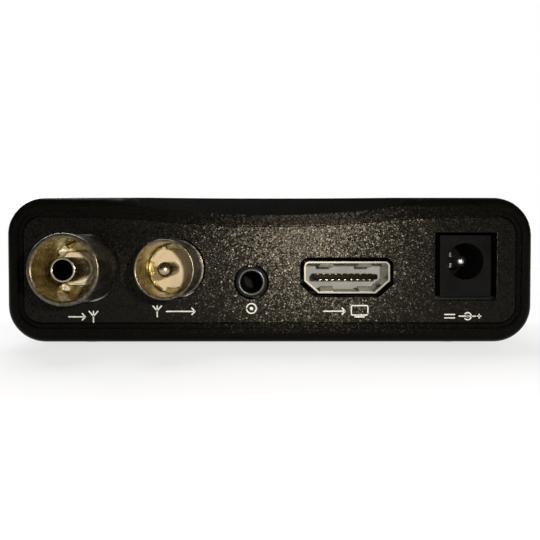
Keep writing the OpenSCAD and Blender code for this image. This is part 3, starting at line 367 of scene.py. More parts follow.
# The contact tube's bore is painted dark, as painted shade inside the hole, and its outside keeps the brass
# colour
tubeLook = {**plainLooks["contact_brass"], "bore": (0.035, 0.03, 0.022), "skin": (0.42, 0.37, 0.27),
            "inside": 1.63}
tree, shader, place = newFinish("contact_tube", tubeLook)
boreShadeMask = mathOf(tree, "GREATER_THAN", radiusOf(tree, place, middles["aerialIn"]), tubeLook["inside"] * mm)
tree.links.new(mixOf(tree, "RGBA", boreShadeMask, tubeLook["bore"], tubeLook["skin"]), shader.inputs["Base Color"])

# The picture socket's rim faces the flash, so its colour is painted darker there, as painted shade, and it is
# rougher than its walls
steelLook = {"base": (0.15, 0.14, 0.12), "tint": (0.21, 0.195, 0.165), "metal": 1, "rough": (0.2, 0.32),
             "bump": 0.3, "depth": 0.01, "rim": (0.13, 0.12, 0.095), "rimRough": 0.43,
             "rimFacing": (0.5, 0.85)}
tree, shader, place = newFinish("socket_steel", steelLook)
rimShadeAndDull = rangeOf(tree, facingY(tree), *steelLook["rimFacing"], 0, 1)
tree.links.new(mixOf(tree, "RGBA", rimShadeAndDull, feeding(shader, "Base Color"), steelLook["rim"]),
               shader.inputs["Base Color"])
tree.links.new(mixOf(tree, "FLOAT", rimShadeAndDull, feeding(shader, "Roughness"), steelLook["rimRough"]),
               shader.inputs["Roughness"])

# The circuit boards are green lacquer over copper tracks, which stand up a little; the green is painted
# nearly black, as painted shade for the inside of the case
boardLook = {"base": (0.0008, 0.005, 0.0022), "rough": (0.3, 0.45), "gloss": 0.25,
             "track": (0.0026, 0.015, 0.0066), "tracks": 420, "trackWidth": 0.035, "pad": (0.35, 0.35, 0.35),
             "trackBump": 0.4, "trackDepth": 0.03}
tree, shader, place = newFinish("circuit_board", boardLook)
tracks = tree.nodes.new("ShaderNodeTexBrick")
for socket, value in (("Scale", boardLook["tracks"]), ("Mortar Size", boardLook["trackWidth"]),
                      ("Color1", (0, 0, 0)), ("Color2", boardLook["pad"]), ("Mortar", (1, 1, 1)),
                      ("Vector", place)):
    feed(tree, tracks.inputs[socket], value)
tree.links.new(bumpOf(tree, tracks.outputs["Color"], boardLook["trackBump"], boardLook["trackDepth"]),
               shader.inputs["Normal"])
tree.links.new(mixOf(tree, "RGBA", tracks.outputs["Color"], boardLook["base"], boardLook["track"]),
               shader.inputs["Base Color"])

# The window over the display is smoked red plastic
newFinish("smoked_window", {"base": (0.3, 0.06, 0.05), "tint": (0.26, 0.05, 0.045), "rough": (0.03, 0.06),
                            "clear": 0.92, "ior": 1.49, "gloss": 0.5})
print("finishes made:", len(finishes))


# Helpers for shapes: each shape is its points in frame metres and its faces

# Corner numbers of each cell of a grid with rows by cols points
def gridFaces(rows, cols, closeRows=False, closeCols=False):
    r = np.arange(rows if closeRows else rows - 1)[:, None]
    c = np.arange(cols if closeCols else cols - 1)[None, :]
    down, right = (r + 1) % rows, (c + 1) % cols
    return np.stack([r * cols + c, r * cols + right, down * cols + right, down * cols + c], -1).reshape(-1, 4)


# Joins are in metres and the angle at which an edge stays sharp is in degrees
joining = {"within": 2e-7, "sliver": 1e-7, "sharp": 35.0}


# One object from shapes: doubles are merged, and normals face outwards
def newPiece(name, shapes, slot, body="receiver", stands=(), sharp=joining["sharp"]):
    points, faces, count = [], [], 0
    for shapePoints, shapeFaces in shapes:
        flat = np.asarray(shapePoints, float).reshape(-1, 3)
        points += flat.tolist()
        faces += [[int(i) + count for i in face] for face in shapeFaces]
        count += len(flat)
    mesh = bpy.data.meshes.new(name)
    mesh.from_pydata(points, [], faces)
    work = bmesh.new()
    work.from_mesh(mesh)
    bmesh.ops.remove_doubles(work, verts=work.verts, dist=joining["within"])
    bmesh.ops.dissolve_degenerate(work, edges=work.edges, dist=joining["sliver"])
    bmesh.ops.recalc_face_normals(work, faces=work.faces)
    work.to_mesh(mesh)
    work.free()
    return placePiece(name, mesh, slot, body, stands, sharp)


def placePiece(name, mesh, slot, body, stands, sharp):
    mesh.shade_smooth()
    mesh.set_sharp_from_angle(angle=math.radians(sharp))
    mesh.materials.clear()
    mesh.materials.append(finishes[slot])
    piece = bpy.data.objects.new(name, mesh)
    scene.collection.objects.link(piece)
    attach(piece, body)
    if stands:
        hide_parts(*stands)
    return piece


# Every corner (u, v, radius) becomes an arc that touches both of its sides
def roundedPath(corners, closed=True, steps=6):
    corners = np.array(corners, float)
    parts = []
    for i, (u, v, radius) in enumerate(corners):
        here = np.array([u, v])
        if radius <= 0 or (not closed and i in (0, len(corners) - 1)):
            parts.append(here[None])
            continue
        back = corners[i - 1, :2] - here
        ahead = corners[(i + 1) % len(corners), :2] - here
        back, ahead = back / np.linalg.norm(back), ahead / np.linalg.norm(ahead)
        half = 0.5 * math.acos(float(np.clip(back @ ahead, -1, 1)))
        centre = here + (back + ahead) / np.linalg.norm(back + ahead) * radius / math.sin(half)
        start = here + back * radius / math.tan(half) - centre
        end = here + ahead * radius / math.tan(half) - centre
        first = math.atan2(start[1], start[0])
        turn = (math.atan2(end[1], end[0]) - first + math.pi) % (2 * math.pi) - math.pi
        a = first + turn * np.linspace(0, 1, steps)
        parts.append(centre + radius * np.stack([np.cos(a), np.sin(a)], -1))
    return np.concatenate(parts)


# Each profile point (radius, y) goes round the line along y through the middle (x, z)
def turnedShape(profile, middle, steps=96, closed=True):
    profile = np.asarray(profile, float)
    a = np.linspace(0, 2 * math.pi, steps, endpoint=False)[:, None]
    radius, y = profile[:, 0], profile[:, 1]
    points = np.stack([middle[0] + radius * np.cos(a), y + 0 * a, middle[1] + radius * np.sin(a)], -1)
    return toFrame(points), gridFaces(steps, len(profile), True, closed)


# The outline (x, z), moved inwards along its own normals
def insetLoop(outline, inset):
    after, before = np.roll(outline, -1, 0) - outline, outline - np.roll(outline, 1, 0)
    along = after / np.linalg.norm(after, axis=1)[:, None] + before / np.linalg.norm(before, axis=1)[:, None]
    along /= np.linalg.norm(along, axis=1)[:, None]
    x, z = outline.T
    area = 0.5 * np.sum(x * np.roll(z, -1) - np.roll(x, -1) * z)
    inward = np.stack([-along[:, 1], along[:, 0]], -1) * (1 if area > 0 else -1)
    return outline + inward * inset


# A plate from y0 to y1 with this outline; its edge at y1 is rounded by a quarter circle
def plateShape(outline, y0, y1, edge, steps=4):
    sign = 1 if y1 > y0 else -1
    loops = [(0, y0)]
    loops += [(edge * (1 - math.cos(a)), y1 - sign * edge * (1 - math.sin(a)))
              for a in np.linspace(0, math.pi / 2, steps)]
    points = np.stack([np.insert(insetLoop(outline, inset), 1, y, axis=1) for inset, y in loops])
    count = len(outline)
    faces = gridFaces(len(loops), count, False, True).tolist()
    faces.append(list(range(count)))
    faces.append([(len(loops) - 1) * count + i for i in range(count)][::-1])
    return toFrame(points), faces


# A box w wide and h high round the middle (x, z), with its corners rounded to radius r
def roundBox(x, z, w, h, r, steps=6):
    return roundedPath([(x - w / 2, z - h / 2, r), (x + w / 2, z - h / 2, r), (x + w / 2, z + h / 2, r),
                        (x - w / 2, z + h / 2, r)], True, steps)


# A section (side, up) carried along a line of points, with side held in one direction and both ends closed
def sweptShape(line, section, side):
    line, section, side = np.asarray(line, float), np.asarray(section, float), np.asarray(side, float)
    along = np.gradient(line, axis=0)
    along /= np.linalg.norm(along, axis=1)[:, None]
    up = np.cross(along, side)
    points = line[:, None] + section[None, :, :1] * side + section[None, :, 1:] * up[:, None]
    count = len(section)
    faces = gridFaces(len(line), count, False, True).tolist()
    faces += [list(range(count)), [(len(line) - 1) * count + i for i in range(count)][::-1]]
    return toFrame(points), faces


# Ink stands a hair above a surface given as y of (x, z), and is rooted below it
ink = {"rise": 0.02, "sink": 0.03, "endSteps": 7, "steps": 48, "patchShares": (0, 1, 1, 0.66, 0.33, 0)}


# A stroke follows a line of (x, z) points, and its width shrinks to nothing in a half circle at each end.
# Out is the direction along y that the surface faces.
def strokeShape(line, width, surface, out=1):
    line = np.asarray(line, float)
    steps = np.concatenate([[0], np.cumsum(np.linalg.norm(np.diff(line, axis=0), axis=1))])
    total = steps[-1] + width
    edge = np.linspace(0, math.pi / 2, ink["endSteps"])
    s = np.concatenate([(1 - np.cos(edge)) * width / 2,
                        np.linspace(width / 2, total - width / 2, ink["steps"])[1:-1],
                        total - (1 - np.cos(edge[::-1])) * width / 2])
    half = np.sqrt(np.maximum(0, (width / 2) ** 2 - np.maximum(0, width / 2 - np.minimum(s, total - s)) ** 2))
    at = s - width / 2
    x = np.interp(at, steps, line[:, 0])
    z = np.interp(at, steps, line[:, 1])
    startWay, endWay = line[1] - line[0], line[-1] - line[-2]
    startWay, endWay = startWay / np.linalg.norm(startWay), endWay / np.linalg.norm(endWay)
    early, late = np.minimum(at, 0), np.maximum(at - steps[-1], 0)
    x, z = x + early * startWay[0] + late * endWay[0], z + early * startWay[1] + late * endWay[1]
    along = np.stack([np.gradient(x), np.gradient(z)], -1)
    along /= np.maximum(np.linalg.norm(along, axis=1), 1e-12)[:, None]
    across = np.array([-1, -1, 0, 1, 1])
    rise = np.array([-ink["sink"], ink["rise"], ink["rise"], ink["rise"], -ink["sink"]]) * out
    px = x[:, None] - along[:, 1:] * half[:, None] * across
    pz = z[:, None] + along[:, :1] * half[:, None] * across
    points = np.stack([px, surface(px, pz) + rise, pz], -1)
    return toFrame(points), gridFaces(len(s), len(across), False, True)


# A filled sign: the outline drawn together towards its middle, on the surface, and closed below
def patchShape(outline, surface, out=1):
    outline = np.asarray(outline, float)
    middle = outline.mean(0)
    shares = np.array(ink["patchShares"])
    rise = np.where(np.arange(len(shares)) < 2, -ink["sink"], ink["rise"])[:, None] * out
    loops = middle + (outline - middle)[None] * shares[:, None, None]
    points = np.stack([loops[..., 0], surface(loops[..., 0], loops[..., 1]) + rise, loops[..., 1]], -1)
    return toFrame(points), gridFaces(len(shares), len(outline), False, True)


# A part of a circle round (x, z), from one angle to another in degrees
def arcLine(x, z, radius, first, last, count=40):
    a = np.radians(np.linspace(first, last, count))
    return np.stack([x + radius * np.cos(a), z + radius * np.sin(a)], -1)


# Case, boards and blocks: a merged copy of each CAD node, with its sharp edges rounded as a moulding's or a
# stamping's are. The edge is in millimetres, and the angles are in degrees.

softening = {"within": 2e-6, "flat": 0.6, "segments": 2, "weight": 60}


def softNode(node, slot, edge):
    mesh = nodes[node].data.copy()
    work = bmesh.new()
    work.from_mesh(mesh)
    bmesh.ops.remove_doubles(work, verts=work.verts, dist=softening["within"])
    flat = math.radians(softening["flat"])
    bmesh.ops.dissolve_limit(work, angle_limit=flat, verts=work.verts, edges=work.edges)
    work.to_mesh(mesh)
    work.free()
    words = node.split("_")
    name = words[0] + "".join(word.capitalize() for word in words[1:])
    piece = placePiece(name, mesh, slot, nodes[node]["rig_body"], (node,), joining["sharp"])
    if edge:
        mesh.shade_smooth()
        mesh.set_sharp_from_angle(angle=math.pi)
        bevel = piece.modifiers.new("edge", "BEVEL")
        bevel.width = edge * mm
        bevel.segments = softening["segments"]
        bevel.limit_method = "ANGLE"
        bevel.angle_limit = math.radians(joining["sharp"])
        level = piece.modifiers.new("level", "WEIGHTED_NORMAL")
        level.weight = softening["weight"]


softNodes = {
    "top_cover": ("case_plastic", 0.1), "bottom_cover": ("case_plastic", 0.1),
    "rear_panel": ("panel_plastic", 0.12), "front_panel": ("key_plastic", 0.12),
    "case_screws": ("screw_steel", 0.08), "main_board": ("circuit_board", 0.03),
    "tuner_case": ("tinned_sheet", 0.05), "tuner_lid": ("tinned_sheet", 0.08),
    "av_jack_body": ("black_moulding", 0.06),
    "av_jack_springs": ("contact_brass", 0.0), "hd_socket_shell": ("socket_steel", 0.06),
    "hd_socket_block": ("grey_moulding", 0.05), "power_jack_body": ("black_moulding", 0.15),
    "data_socket_shell": ("socket_steel", 0.06), "data_socket_core": ("black_moulding", 0.08),
    "front_board": ("circuit_board", 0.03), "header_block": ("black_moulding", 0.08),
    "display_module": ("display_grey", 0.08), "ir_receiver": ("sensor_smoke", 0.08),
    "key_switches": ("black_moulding", 0.08), "power_plunger": ("white_plunger", 0.08),
    "channel_down_plunger": ("white_plunger", 0.08), "channel_up_plunger": ("white_plunger", 0.08),
    "power_key": ("key_plastic", 0.15), "channel_down_key": ("key_plastic", 0.15),
    "channel_up_key": ("key_plastic", 0.15), "decoder_chip": ("chip_epoxy", 0.08),
    "flash_chip": ("chip_epoxy", 0.08), "clock_crystal": ("can_metal", 0.12),
    "power_inductors": ("ferrite", 0.08), "voltage_regulators": ("chip_epoxy", 0.05),
    "filter_capacitors": ("capacitor_foil", 0.1), "standby_led": ("lamp_red", 0.0),
    "rf_in_insulator": ("cream_insulator", 0.1),
}
for node, (slot, edge) in softNodes.items():
    softNode(node, slot, edge)

# Small parts keep the frame's own mesh
plainNodes = {
    "data_socket_contacts": "gold_contacts", "header_pins": "gold_contacts", "display_digits": "segment_red",
    "flash_leads": "can_metal", "capacitor_sleeves": "capacitor_film",
}
for node, slot in plainNodes.items():
    nodes[node].data.materials.clear()
    nodes[node].data.materials.append(finishes[slot])
print("frame dressed:", len(softNodes) + len(plainNodes))

# Feet: a turned rubber pad with a soft shoulder and a shallow dimple
feet = {"radius": 4.0, "height": 0.8, "sink": 0.6, "insetX": 13.0, "insetY": 11.0, "round": 0.3,
        "dimple": 0.12, "dimpleShare": 0.6, "ringShare": 0.68, "ringRound": 0.05, "rootRound": 0.1}
dimpleZ = feet["dimple"] - feet["height"]
footProfile = np.concatenate([
    [[0, dimpleZ], [feet["radius"] * feet["dimpleShare"], dimpleZ]],
    roundedPath([(feet["radius"] * feet["ringShare"], -feet["height"], feet["ringRound"]),
                 (feet["radius"], -feet["height"], feet["round"]),
                 (feet["radius"], feet["sink"], feet["rootRound"]), (0, feet["sink"], 0)], False),
])


# A profile (radius, z) goes round an upright line
def standingShape(profile, x, y, steps=64):
    profile = np.asarray(profile, float)
    a = np.linspace(0, 2 * math.pi, steps, endpoint=False)[:, None]
    radius, z = profile[:, 0], profile[:, 1]
    points = np.stack([x + radius * np.cos(a), y + radius * np.sin(a), z + 0 * a], -1)
    return toFrame(points), gridFaces(steps, len(profile), True, False)


footX = case["width"] / 2 - feet["insetX"]
newPiece("feetPads", [standingShape(footProfile, x, y) for x in (-footX, footX)
                      for y in (-feet["insetY"], feet["insetY"] - case["depth"])],
         "foot_rubber", stands=("feet",))


# A bead closes the seam between the covers, a little below their faces
bead = {"below": 0.36, "wide": 0.3, "tall": 0.085, "corner": 1.3, "turnIn": 1.7, "steps": 9}
beadX, rearY = case["width"] / 2 - bead["below"], -bead["below"]
frontY = bead["below"] - case["depth"]
beadSection = [(-bead["tall"], -bead["wide"]), (bead["tall"], -bead["wide"]), (bead["tall"], bead["wide"]),
               (-bead["tall"], bead["wide"])]
beadShapes = []
for side in (-1, 1):
    x, turnedX = side * beadX, side * (beadX - bead["turnIn"])
    path = roundedPath([(turnedX, rearY, 0), (x, rearY, bead["corner"]), (x, frontY, bead["corner"]),
                        (turnedX, frontY, 0)], False, bead["steps"])
    line = np.insert(path, 2, case["height"] / 2, axis=1)
    beadShapes.append(sweptShape(line, beadSection, (0, 0, 1)))
newPiece("seamBead", beadShapes, "case_plastic")


# Aerial input: a barrel with a rolled rim and a slightly belled mouth

aerialIn = {"outer": 5.7, "inner": 4.85, "tip": 11.8, "root": -6.6, "floor": 0.6, "hole": 3.2, "roll": 0.34,
            "rootRound": 0.1, "bellDepth": 1.4, "bellRound": 0.6, "draft": 0.02, "floorRound": 0.3,
            "holeRound": 0.05, "steps": 7}
inLine = roundedPath([
    (aerialIn["hole"], aerialIn["root"], 0), (aerialIn["outer"], aerialIn["root"], aerialIn["rootRound"]),
    (aerialIn["outer"], aerialIn["tip"], aerialIn["roll"]),
    (aerialIn["inner"], aerialIn["tip"], aerialIn["roll"]),
    (aerialIn["inner"], aerialIn["tip"] - aerialIn["bellDepth"], aerialIn["bellRound"]),
    (aerialIn["inner"] - aerialIn["draft"], aerialIn["floor"], aerialIn["floorRound"]),
    (aerialIn["hole"], aerialIn["floor"], aerialIn["holeRound"]),
], True, aerialIn["steps"])
newPiece("aerialInBarrel", [turnedShape(inLine, middles["aerialIn"], steps=128)], "input_barrel",
         stands=("rf_in_shell",), sharp=50)

# The contact tube, with a rolled mouth
tube = {"outer": 1.95, "mouth": 1.62, "bore": 1.25, "funnel": 1.2, "root": -6.6, "end": -8.6,
        "tip": aerialIn["tip"], "outRound": 0.12, "mouthRound": 0.1, "funnelRound": 0.2, "steps": 5}
tubeLine = roundedPath([
    (0, tube["end"], 0), (tube["bore"], tube["end"], 0), (tube["outer"], tube["root"], 0),
    (tube["outer"], tube["tip"], tube["outRound"]), (tube["mouth"], tube["tip"], tube["mouthRound"]),
    (tube["bore"], tube["tip"] - tube["funnel"], tube["funnelRound"]), (tube["bore"], 0, 0), (0, 0, 0),
], False, tube["steps"])
newPiece("aerialInTube", [turnedShape(tubeLine, middles["aerialIn"], steps=80, closed=False)],
         "contact_tube", stands=("rf_in_contact",), sharp=40)

# Four crimps hold the insulator, squeezed lumps of the barrel's metal: a ball whose radius is
# 1 + a sin 3v sin u + b sin 5u sin 2v, with another phase for each lump
crimp = {"reach": 4.3, "rise": 1.5, "across": 0.85, "along": 0.62, "tall": 1.15,
         "angles": (45, 135, 225, 312), "threes": 0.16, "threeStep": 2.1, "fives": 0.2, "fiveStep": 1.3,
         "rows": 15, "cols": 24}
crimpShapes = []
u = np.linspace(0, math.pi, crimp["rows"])[:, None]
v = np.linspace(0, 2 * math.pi, crimp["cols"], endpoint=False)[None, :]
for i, angle in enumerate(np.radians(crimp["angles"])):
    swell = (1 + crimp["threes"] * np.sin(3 * v + crimp["threeStep"] * i) * np.sin(u)
             + crimp["fives"] * np.sin(5 * u + crimp["fiveStep"] * i) * np.sin(2 * v + i))
    out = crimp["reach"] + crimp["along"] * swell * np.sin(u) * np.cos(v)
    side = crimp["across"] * swell * np.sin(u) * np.sin(v)
    points = np.stack([
        middles["aerialIn"][0] + out * math.cos(angle) - side * math.sin(angle),
        crimp["rise"] + crimp["tall"] * swell * np.cos(u),
        middles["aerialIn"][1] + out * math.sin(angle) + side * math.cos(angle)], -1)
    crimpShapes.append((toFrame(points), gridFaces(crimp["rows"], crimp["cols"], False, True)))
# Their finish is a painted glint, lighter than the barrel's metal
newPiece("aerialInCrimps", crimpShapes, "crimp_painted_glint")


# Aerial output: a thinner barrel with a collar at its root

aerialOut = {"outer": 4.75, "inner": 4.3, "tip": 11.6, "root": -6.6, "floor": 1.0, "hole": 2.85, "roll": 0.2,
             "collar": 5.1, "collarTop": 0.2, "collarRoot": -2.8, "rootRound": 0.1, "collarRound": 0.12,
             "neckRound": 0.08, "floorRound": 0.2, "fine": 0.05, "steps": 7}
outLine = roundedPath([
    (aerialOut["hole"], aerialOut["root"], 0),
    (aerialOut["outer"], aerialOut["root"], aerialOut["rootRound"]),
    (aerialOut["outer"], aerialOut["collarRoot"], 0),
    (aerialOut["collar"], aerialOut["collarRoot"], aerialOut["fine"]),
    (aerialOut["collar"], aerialOut["collarTop"], aerialOut["collarRound"]),
    (aerialOut["outer"], aerialOut["collarTop"], aerialOut["neckRound"]),
    (aerialOut["outer"], aerialOut["tip"], aerialOut["roll"]),
    (aerialOut["inner"], aerialOut["tip"], aerialOut["roll"]),
    (aerialOut["inner"], aerialOut["floor"], aerialOut["floorRound"]),
    (aerialOut["hole"], aerialOut["floor"], aerialOut["fine"]),
], True, aerialOut["steps"])
newPiece("aerialOutBarrel", [turnedShape(outLine, middles["aerialOut"], steps=128)], "output_barrel",
         stands=("rf_out_shell",), sharp=50)

# The insulator's disc has four broad tabs with a small tooth at each end, and two fine ribs round the pin.
# Notch and tooth are the degrees from the middle of a notch to where they end.
disc = {"root": -6.6, "sleeve": 2.85, "low": 1.0, "top": 2.0, "overlap": 0.05, "edge": 0.08, "apart": 90,
        "notch": 19, "notchReach": 3.3, "tooth": 28, "toothReach": 4.12, "tabReach": 3.82,
        "ribs": (2.85, 3.12), "ribWide": 0.05, "ribTall": 0.09, "ribRound": 0.03}
turn = np.arange(0, 360, 1.0)
within = np.abs((turn + disc["apart"] / 2) % disc["apart"] - disc["apart"] / 2)
reach = np.where(within < disc["notch"], disc["notchReach"],
                 np.where(within < disc["tooth"], disc["toothReach"], disc["tabReach"]))
discOutline = np.stack([middles["aerialOut"][0] + reach * np.cos(np.radians(turn)),
                        middles["aerialOut"][1] + reach * np.sin(np.radians(turn))], -1)
sleeveTop = disc["low"] + disc["overlap"]
sleeve = [(0, disc["root"]), (disc["sleeve"], disc["root"]), (disc["sleeve"], sleeveTop), (0, sleeveTop)]
discShapes = [plateShape(discOutline, disc["low"], disc["top"], disc["edge"]),
              turnedShape(sleeve, middles["aerialOut"], steps=64, closed=False)]
for radius in disc["ribs"]:
    inner, outer = radius - disc["ribWide"], radius + disc["ribWide"]
    foot, crest = disc["top"] - disc["overlap"], disc["top"] + disc["ribTall"]
    rib = roundedPath([(inner, foot, 0), (outer, foot, 0), (outer, crest, disc["ribRound"]),
                       (inner, crest, disc["ribRound"])], steps=3)
    discShapes.append(turnedShape(rib, middles["aerialOut"]))
newPiece("aerialOutDisc", discShapes, "beige_insulator", stands=("rf_out_insulator",))


# A pin from its root to a domed tip, as a profile (radius, y)
def pinProfile(radius, root, tip, steps):
    a = np.linspace(0, math.pi / 2, steps)
    dome = np.stack([radius * np.cos(a), tip - radius + radius * np.sin(a)], -1)
    return np.concatenate([[[0, root], [radius, root]], dome])


pin = {"radius": 1.18, "root": -8.6, "tip": 11.6, "steps": 14}
newPiece("aerialOutPin", [turnedShape(pinProfile(**pin), middles["aerialOut"], steps=64, closed=False)],
         "contact_brass", stands=("rf_out_pin",), sharp=50)


# Round jack: a thin rolled lip round its bore, lighter grey than the black moulding as a painted highlight

lip = {"radius": 2.14, "thick": 0.16, "deep": 0.12, "y": -0.12, "steps": 12}
a = np.linspace(0, 2 * math.pi, lip["steps"], endpoint=False)
lipLine = np.stack([lip["radius"] + lip["thick"] * np.cos(a), lip["y"] + lip["deep"] * np.sin(a)], -1)
newPiece("jackLip", [turnedShape(lipLine, middles["jack"], steps=72)], "jack_lip")


# Picture socket: the tongue, its contacts and the spring fingers

# A flat strip's section, w wide and h thick
def stripSection(w, h, corner, steps):
    return roundedPath([(-w / 2, -h / 2, corner), (w / 2, -h / 2, corner), (w / 2, h / 2, corner),
                        (-w / 2, h / 2, corner)], True, steps)


tongue = {"block": -8.1, "tip": -2.7, "width": 11.6, "thick": 0.95, "corner": 0.3, "edge": 0.12}
pictureX, pictureZ = middles["picture"]
tongueOutline = roundBox(pictureX, pictureZ, tongue["width"], tongue["thick"], tongue["corner"])
newPiece("pictureTongue", [plateShape(tongueOutline, tongue["block"], tongue["tip"], tongue["edge"])],
         "black_moulding", stands=("hd_socket_tongue",))

# Contacts lie in turn on the upper and the lower side; each stands a little out of the tongue, as (y, rise)
contact = {"count": 19, "width": 0.3, "thick": 0.12, "corner": 0.02, "pitches": 21,
           "rises": ((tongue["block"], 0.02), (-4.4, 0.05), (-3.7, 0.06), (-3.3, 0.05), (-3.0, 0.01))}
contactShapes = []
for i in range(contact["count"]):
    x = pictureX + (i - (contact["count"] - 1) / 2) * tongue["width"] / contact["pitches"]
    up = 1 if i % 2 == 0 else -1
    skinZ = pictureZ + up * tongue["thick"] / 2
    line = [(x, y, skinZ + up * rise) for y, rise in contact["rises"]]
    section = stripSection(contact["width"], contact["thick"], contact["corner"], 2)
    contactShapes.append(sweptShape(line, section, (1, 0, 0)))
newPiece("pictureContacts", contactShapes, "gold_contacts", stands=("hd_socket_contacts",))

# Spring fingers bent in from the shell's floor and roof by dip x sin(pi x lead x t) to the power curl
finger = {"width": 2.4, "apart": 3.4, "root": -5.4, "tip": -0.9, "dip": 0.75, "thick": 0.3, "wall": 2.6,
          "sunk": 0.02, "lead": 1.12, "curl": 1.5, "corner": 0.08, "steps": 15}
fingerShapes = []
for sx in (-1, 1):
    for sz in (-1, 1):
        t = np.linspace(0, 1, finger["steps"])
        y = finger["root"] + (finger["tip"] - finger["root"]) * t
        dip = finger["dip"] * np.sin(math.pi * np.clip(t * finger["lead"], 0, 1)) ** finger["curl"]
        z = pictureZ + sz * (finger["wall"] - finger["sunk"] - dip)
        line = np.stack([np.full_like(t, pictureX + sx * finger["apart"]), y, z], -1)
        section = stripSection(finger["width"], finger["thick"], finger["corner"], 3)
        fingerShapes.append(sweptShape(line, section, (1, 0, 0)))
# The fingers' finish is painted light, lighter than the shell's steel
newPiece("pictureFingers", fingerShapes, "finger_steel_painted_light")


# Power jack: its pin, and a spring split in two strips, each with a hump near its end of
# hump x exp(-((t - at) / spread)^2)

jackPin = {"radius": 1.0, "root": -13.5, "tip": -2.8, "steps": 12}
newPiece("powerPin", [turnedShape(pinProfile(**jackPin), middles["power"], steps=48, closed=False)],
         "can_metal", stands=("power_jack_pin",), sharp=50)
spring = {"away": 3.45, "hump": 1.3, "at": 0.93, "spread": 0.12, "root": -13.4, "length": 12.1, "width": 0.84,
          "thick": 0.28, "corner": 0.05, "rises": (1.15, -0.75), "steps": 24}
t = np.linspace(0, 1, spring["steps"])
springShapes = []
for rise in spring["rises"]:
    hump = spring["hump"] * np.exp(-((t - spring["at"]) / spring["spread"]) ** 2)
    line = np.stack([middles["power"][0] + spring["away"] - hump, spring["root"] + spring["length"] * t,
                     np.full_like(t, middles["power"][1] + rise)], -1)
    section = stripSection(spring["width"], spring["thick"], spring["corner"], 3)
    springShapes.append(sweptShape(line, section, (0, 0, 1)))
newPiece("powerSpring", springShapes, "can_metal", stands=("power_jack_spring",))


# Display window, as wide and high as the frame's own

window = {"corner": 0.6, "sink": 0.3, "thick": 1.0, "edge": 0.12}
low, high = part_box("display_window")
windowOutline = roundBox((low.x + high.x) / 2 / mm, (low.z + high.z) / 2 / mm - case["under"],
                         (high.x - low.x) / mm, (high.z - low.z) / mm, window["corner"], 8)
windowY = window["sink"] - case["depth"]
newPiece("displayWindow", [plateShape(windowOutline, windowY + window["thick"], windowY, window["edge"])],
         "smoked_window", stands=("display_window",))


# Signs on the keys, whose faces are shallow round dishes: a face stands out by the smaller of out and
# out + dish - dishDepth - the root of (dish squared - the distance squared)

key = {"x": -29.532, "pitch": 7.0, "z": 12.7, "out": 0.6, "dish": 6.0, "dishDepth": 0.25, "dishShare": 0.6}


def keyFace(x, z):
    def surface(px, pz):
        away = np.minimum((px - x) ** 2 + (pz - z) ** 2, (key["dish"] * key["dishShare"]) ** 2)
        y = key["out"] + key["dish"] - key["dishDepth"] - np.sqrt(key["dish"] ** 2 - away)
        return -case["depth"] - np.minimum(y, key["out"])
    return surface


keySign = {"width": 0.26, "size": 0.85, "ring": (130, 410), "ringDrop": 0.05, "bar": (1.05, 0.15),
           "footShare": 0.6, "tipShare": 0.8, "corner": 0.08}
x, z, size = key["x"] - key["pitch"], key["z"], keySign["size"]
face = keyFace(x, z)
ring = arcLine(x, z - keySign["ringDrop"], size, *keySign["ring"])
bar = [(x, z + rise) for rise in keySign["bar"]]
newPiece("powerSign", [strokeShape(line, keySign["width"], face, -1) for line in (ring, bar)], "print_ink",
         "power_button")
for name, body, step, up in (("downSign", "channel_down_button", 0, -1),
                             ("upSign", "channel_up_button", 1, 1)):
    x = key["x"] + step * key["pitch"]
    foot = z - up * size * keySign["footShare"]
    triangle = roundedPath([(x - size, foot, keySign["corner"]), (x + size, foot, keySign["corner"]),
                            (x, z + up * size * keySign["tipShare"], keySign["corner"])], True, 4)
    newPiece(name, [patchShape(triangle, keyFace(x, z), -1)], "print_ink", body)


# Signs on the rear panel, each drawn round its own middle (x, z)

signs = {"stroke": 0.22, "face": -0.3, "head": 0.55, "tuck": 0.1, "mast": 0.95, "spread": 0.75, "fork": 0.1}


def panelFace(px, pz):
    return np.full(np.shape(px), signs["face"])


def rearSign(name, lines, patches=()):
    shapes = [strokeShape(line, signs["stroke"], panelFace) for line in lines]
    shapes += [patchShape(outline, panelFace) for outline in patches]
    newPiece(name, shapes, "print_ink")


# An arrow from its tail to its tip, which points towards smaller x
def arrowLines(x, z, tail, tip):
    back = x + tip + signs["head"]
    return [[(x + tail, z), (x + tip + signs["tuck"], z)],
            [(back, z + signs["head"]), (x + tip, z), (back, z - signs["head"])]]


# A mast with an arm on each side, which slopes up from the fork
def antennaLines(x, z):
    top, fork = z + signs["mast"], z + signs["fork"]
    return [[(x, z - signs["mast"]), (x, top)], [(x - signs["spread"], top), (x, fork)],
            [(x + signs["spread"], top), (x, fork)]]


# A dot's outline has a corner at each 15 degrees
def dot(x, z, radius):
    return arcLine(x, z, radius, 0, 345, 24)


for name, (x, z), antenna, tail, tip in (("aerialInSign", (32.49, 4.53), -1.7, 2.6, -0.3),
                                         ("aerialOutSign", (16.78, 5.47), 2.9, 1.3, -3.7)):
    rearSign(name, antennaLines(x + antenna, z) + arrowLines(x, z, tail, tip))

jackSign = {"middle": (3.24, 5.98), "ring": 0.85, "dot": 0.3}
x, z = jackSign["middle"]
rearSign("jackSign", [arcLine(x, z, jackSign["ring"], 0, 360)], [dot(x, z, jackSign["dot"])])

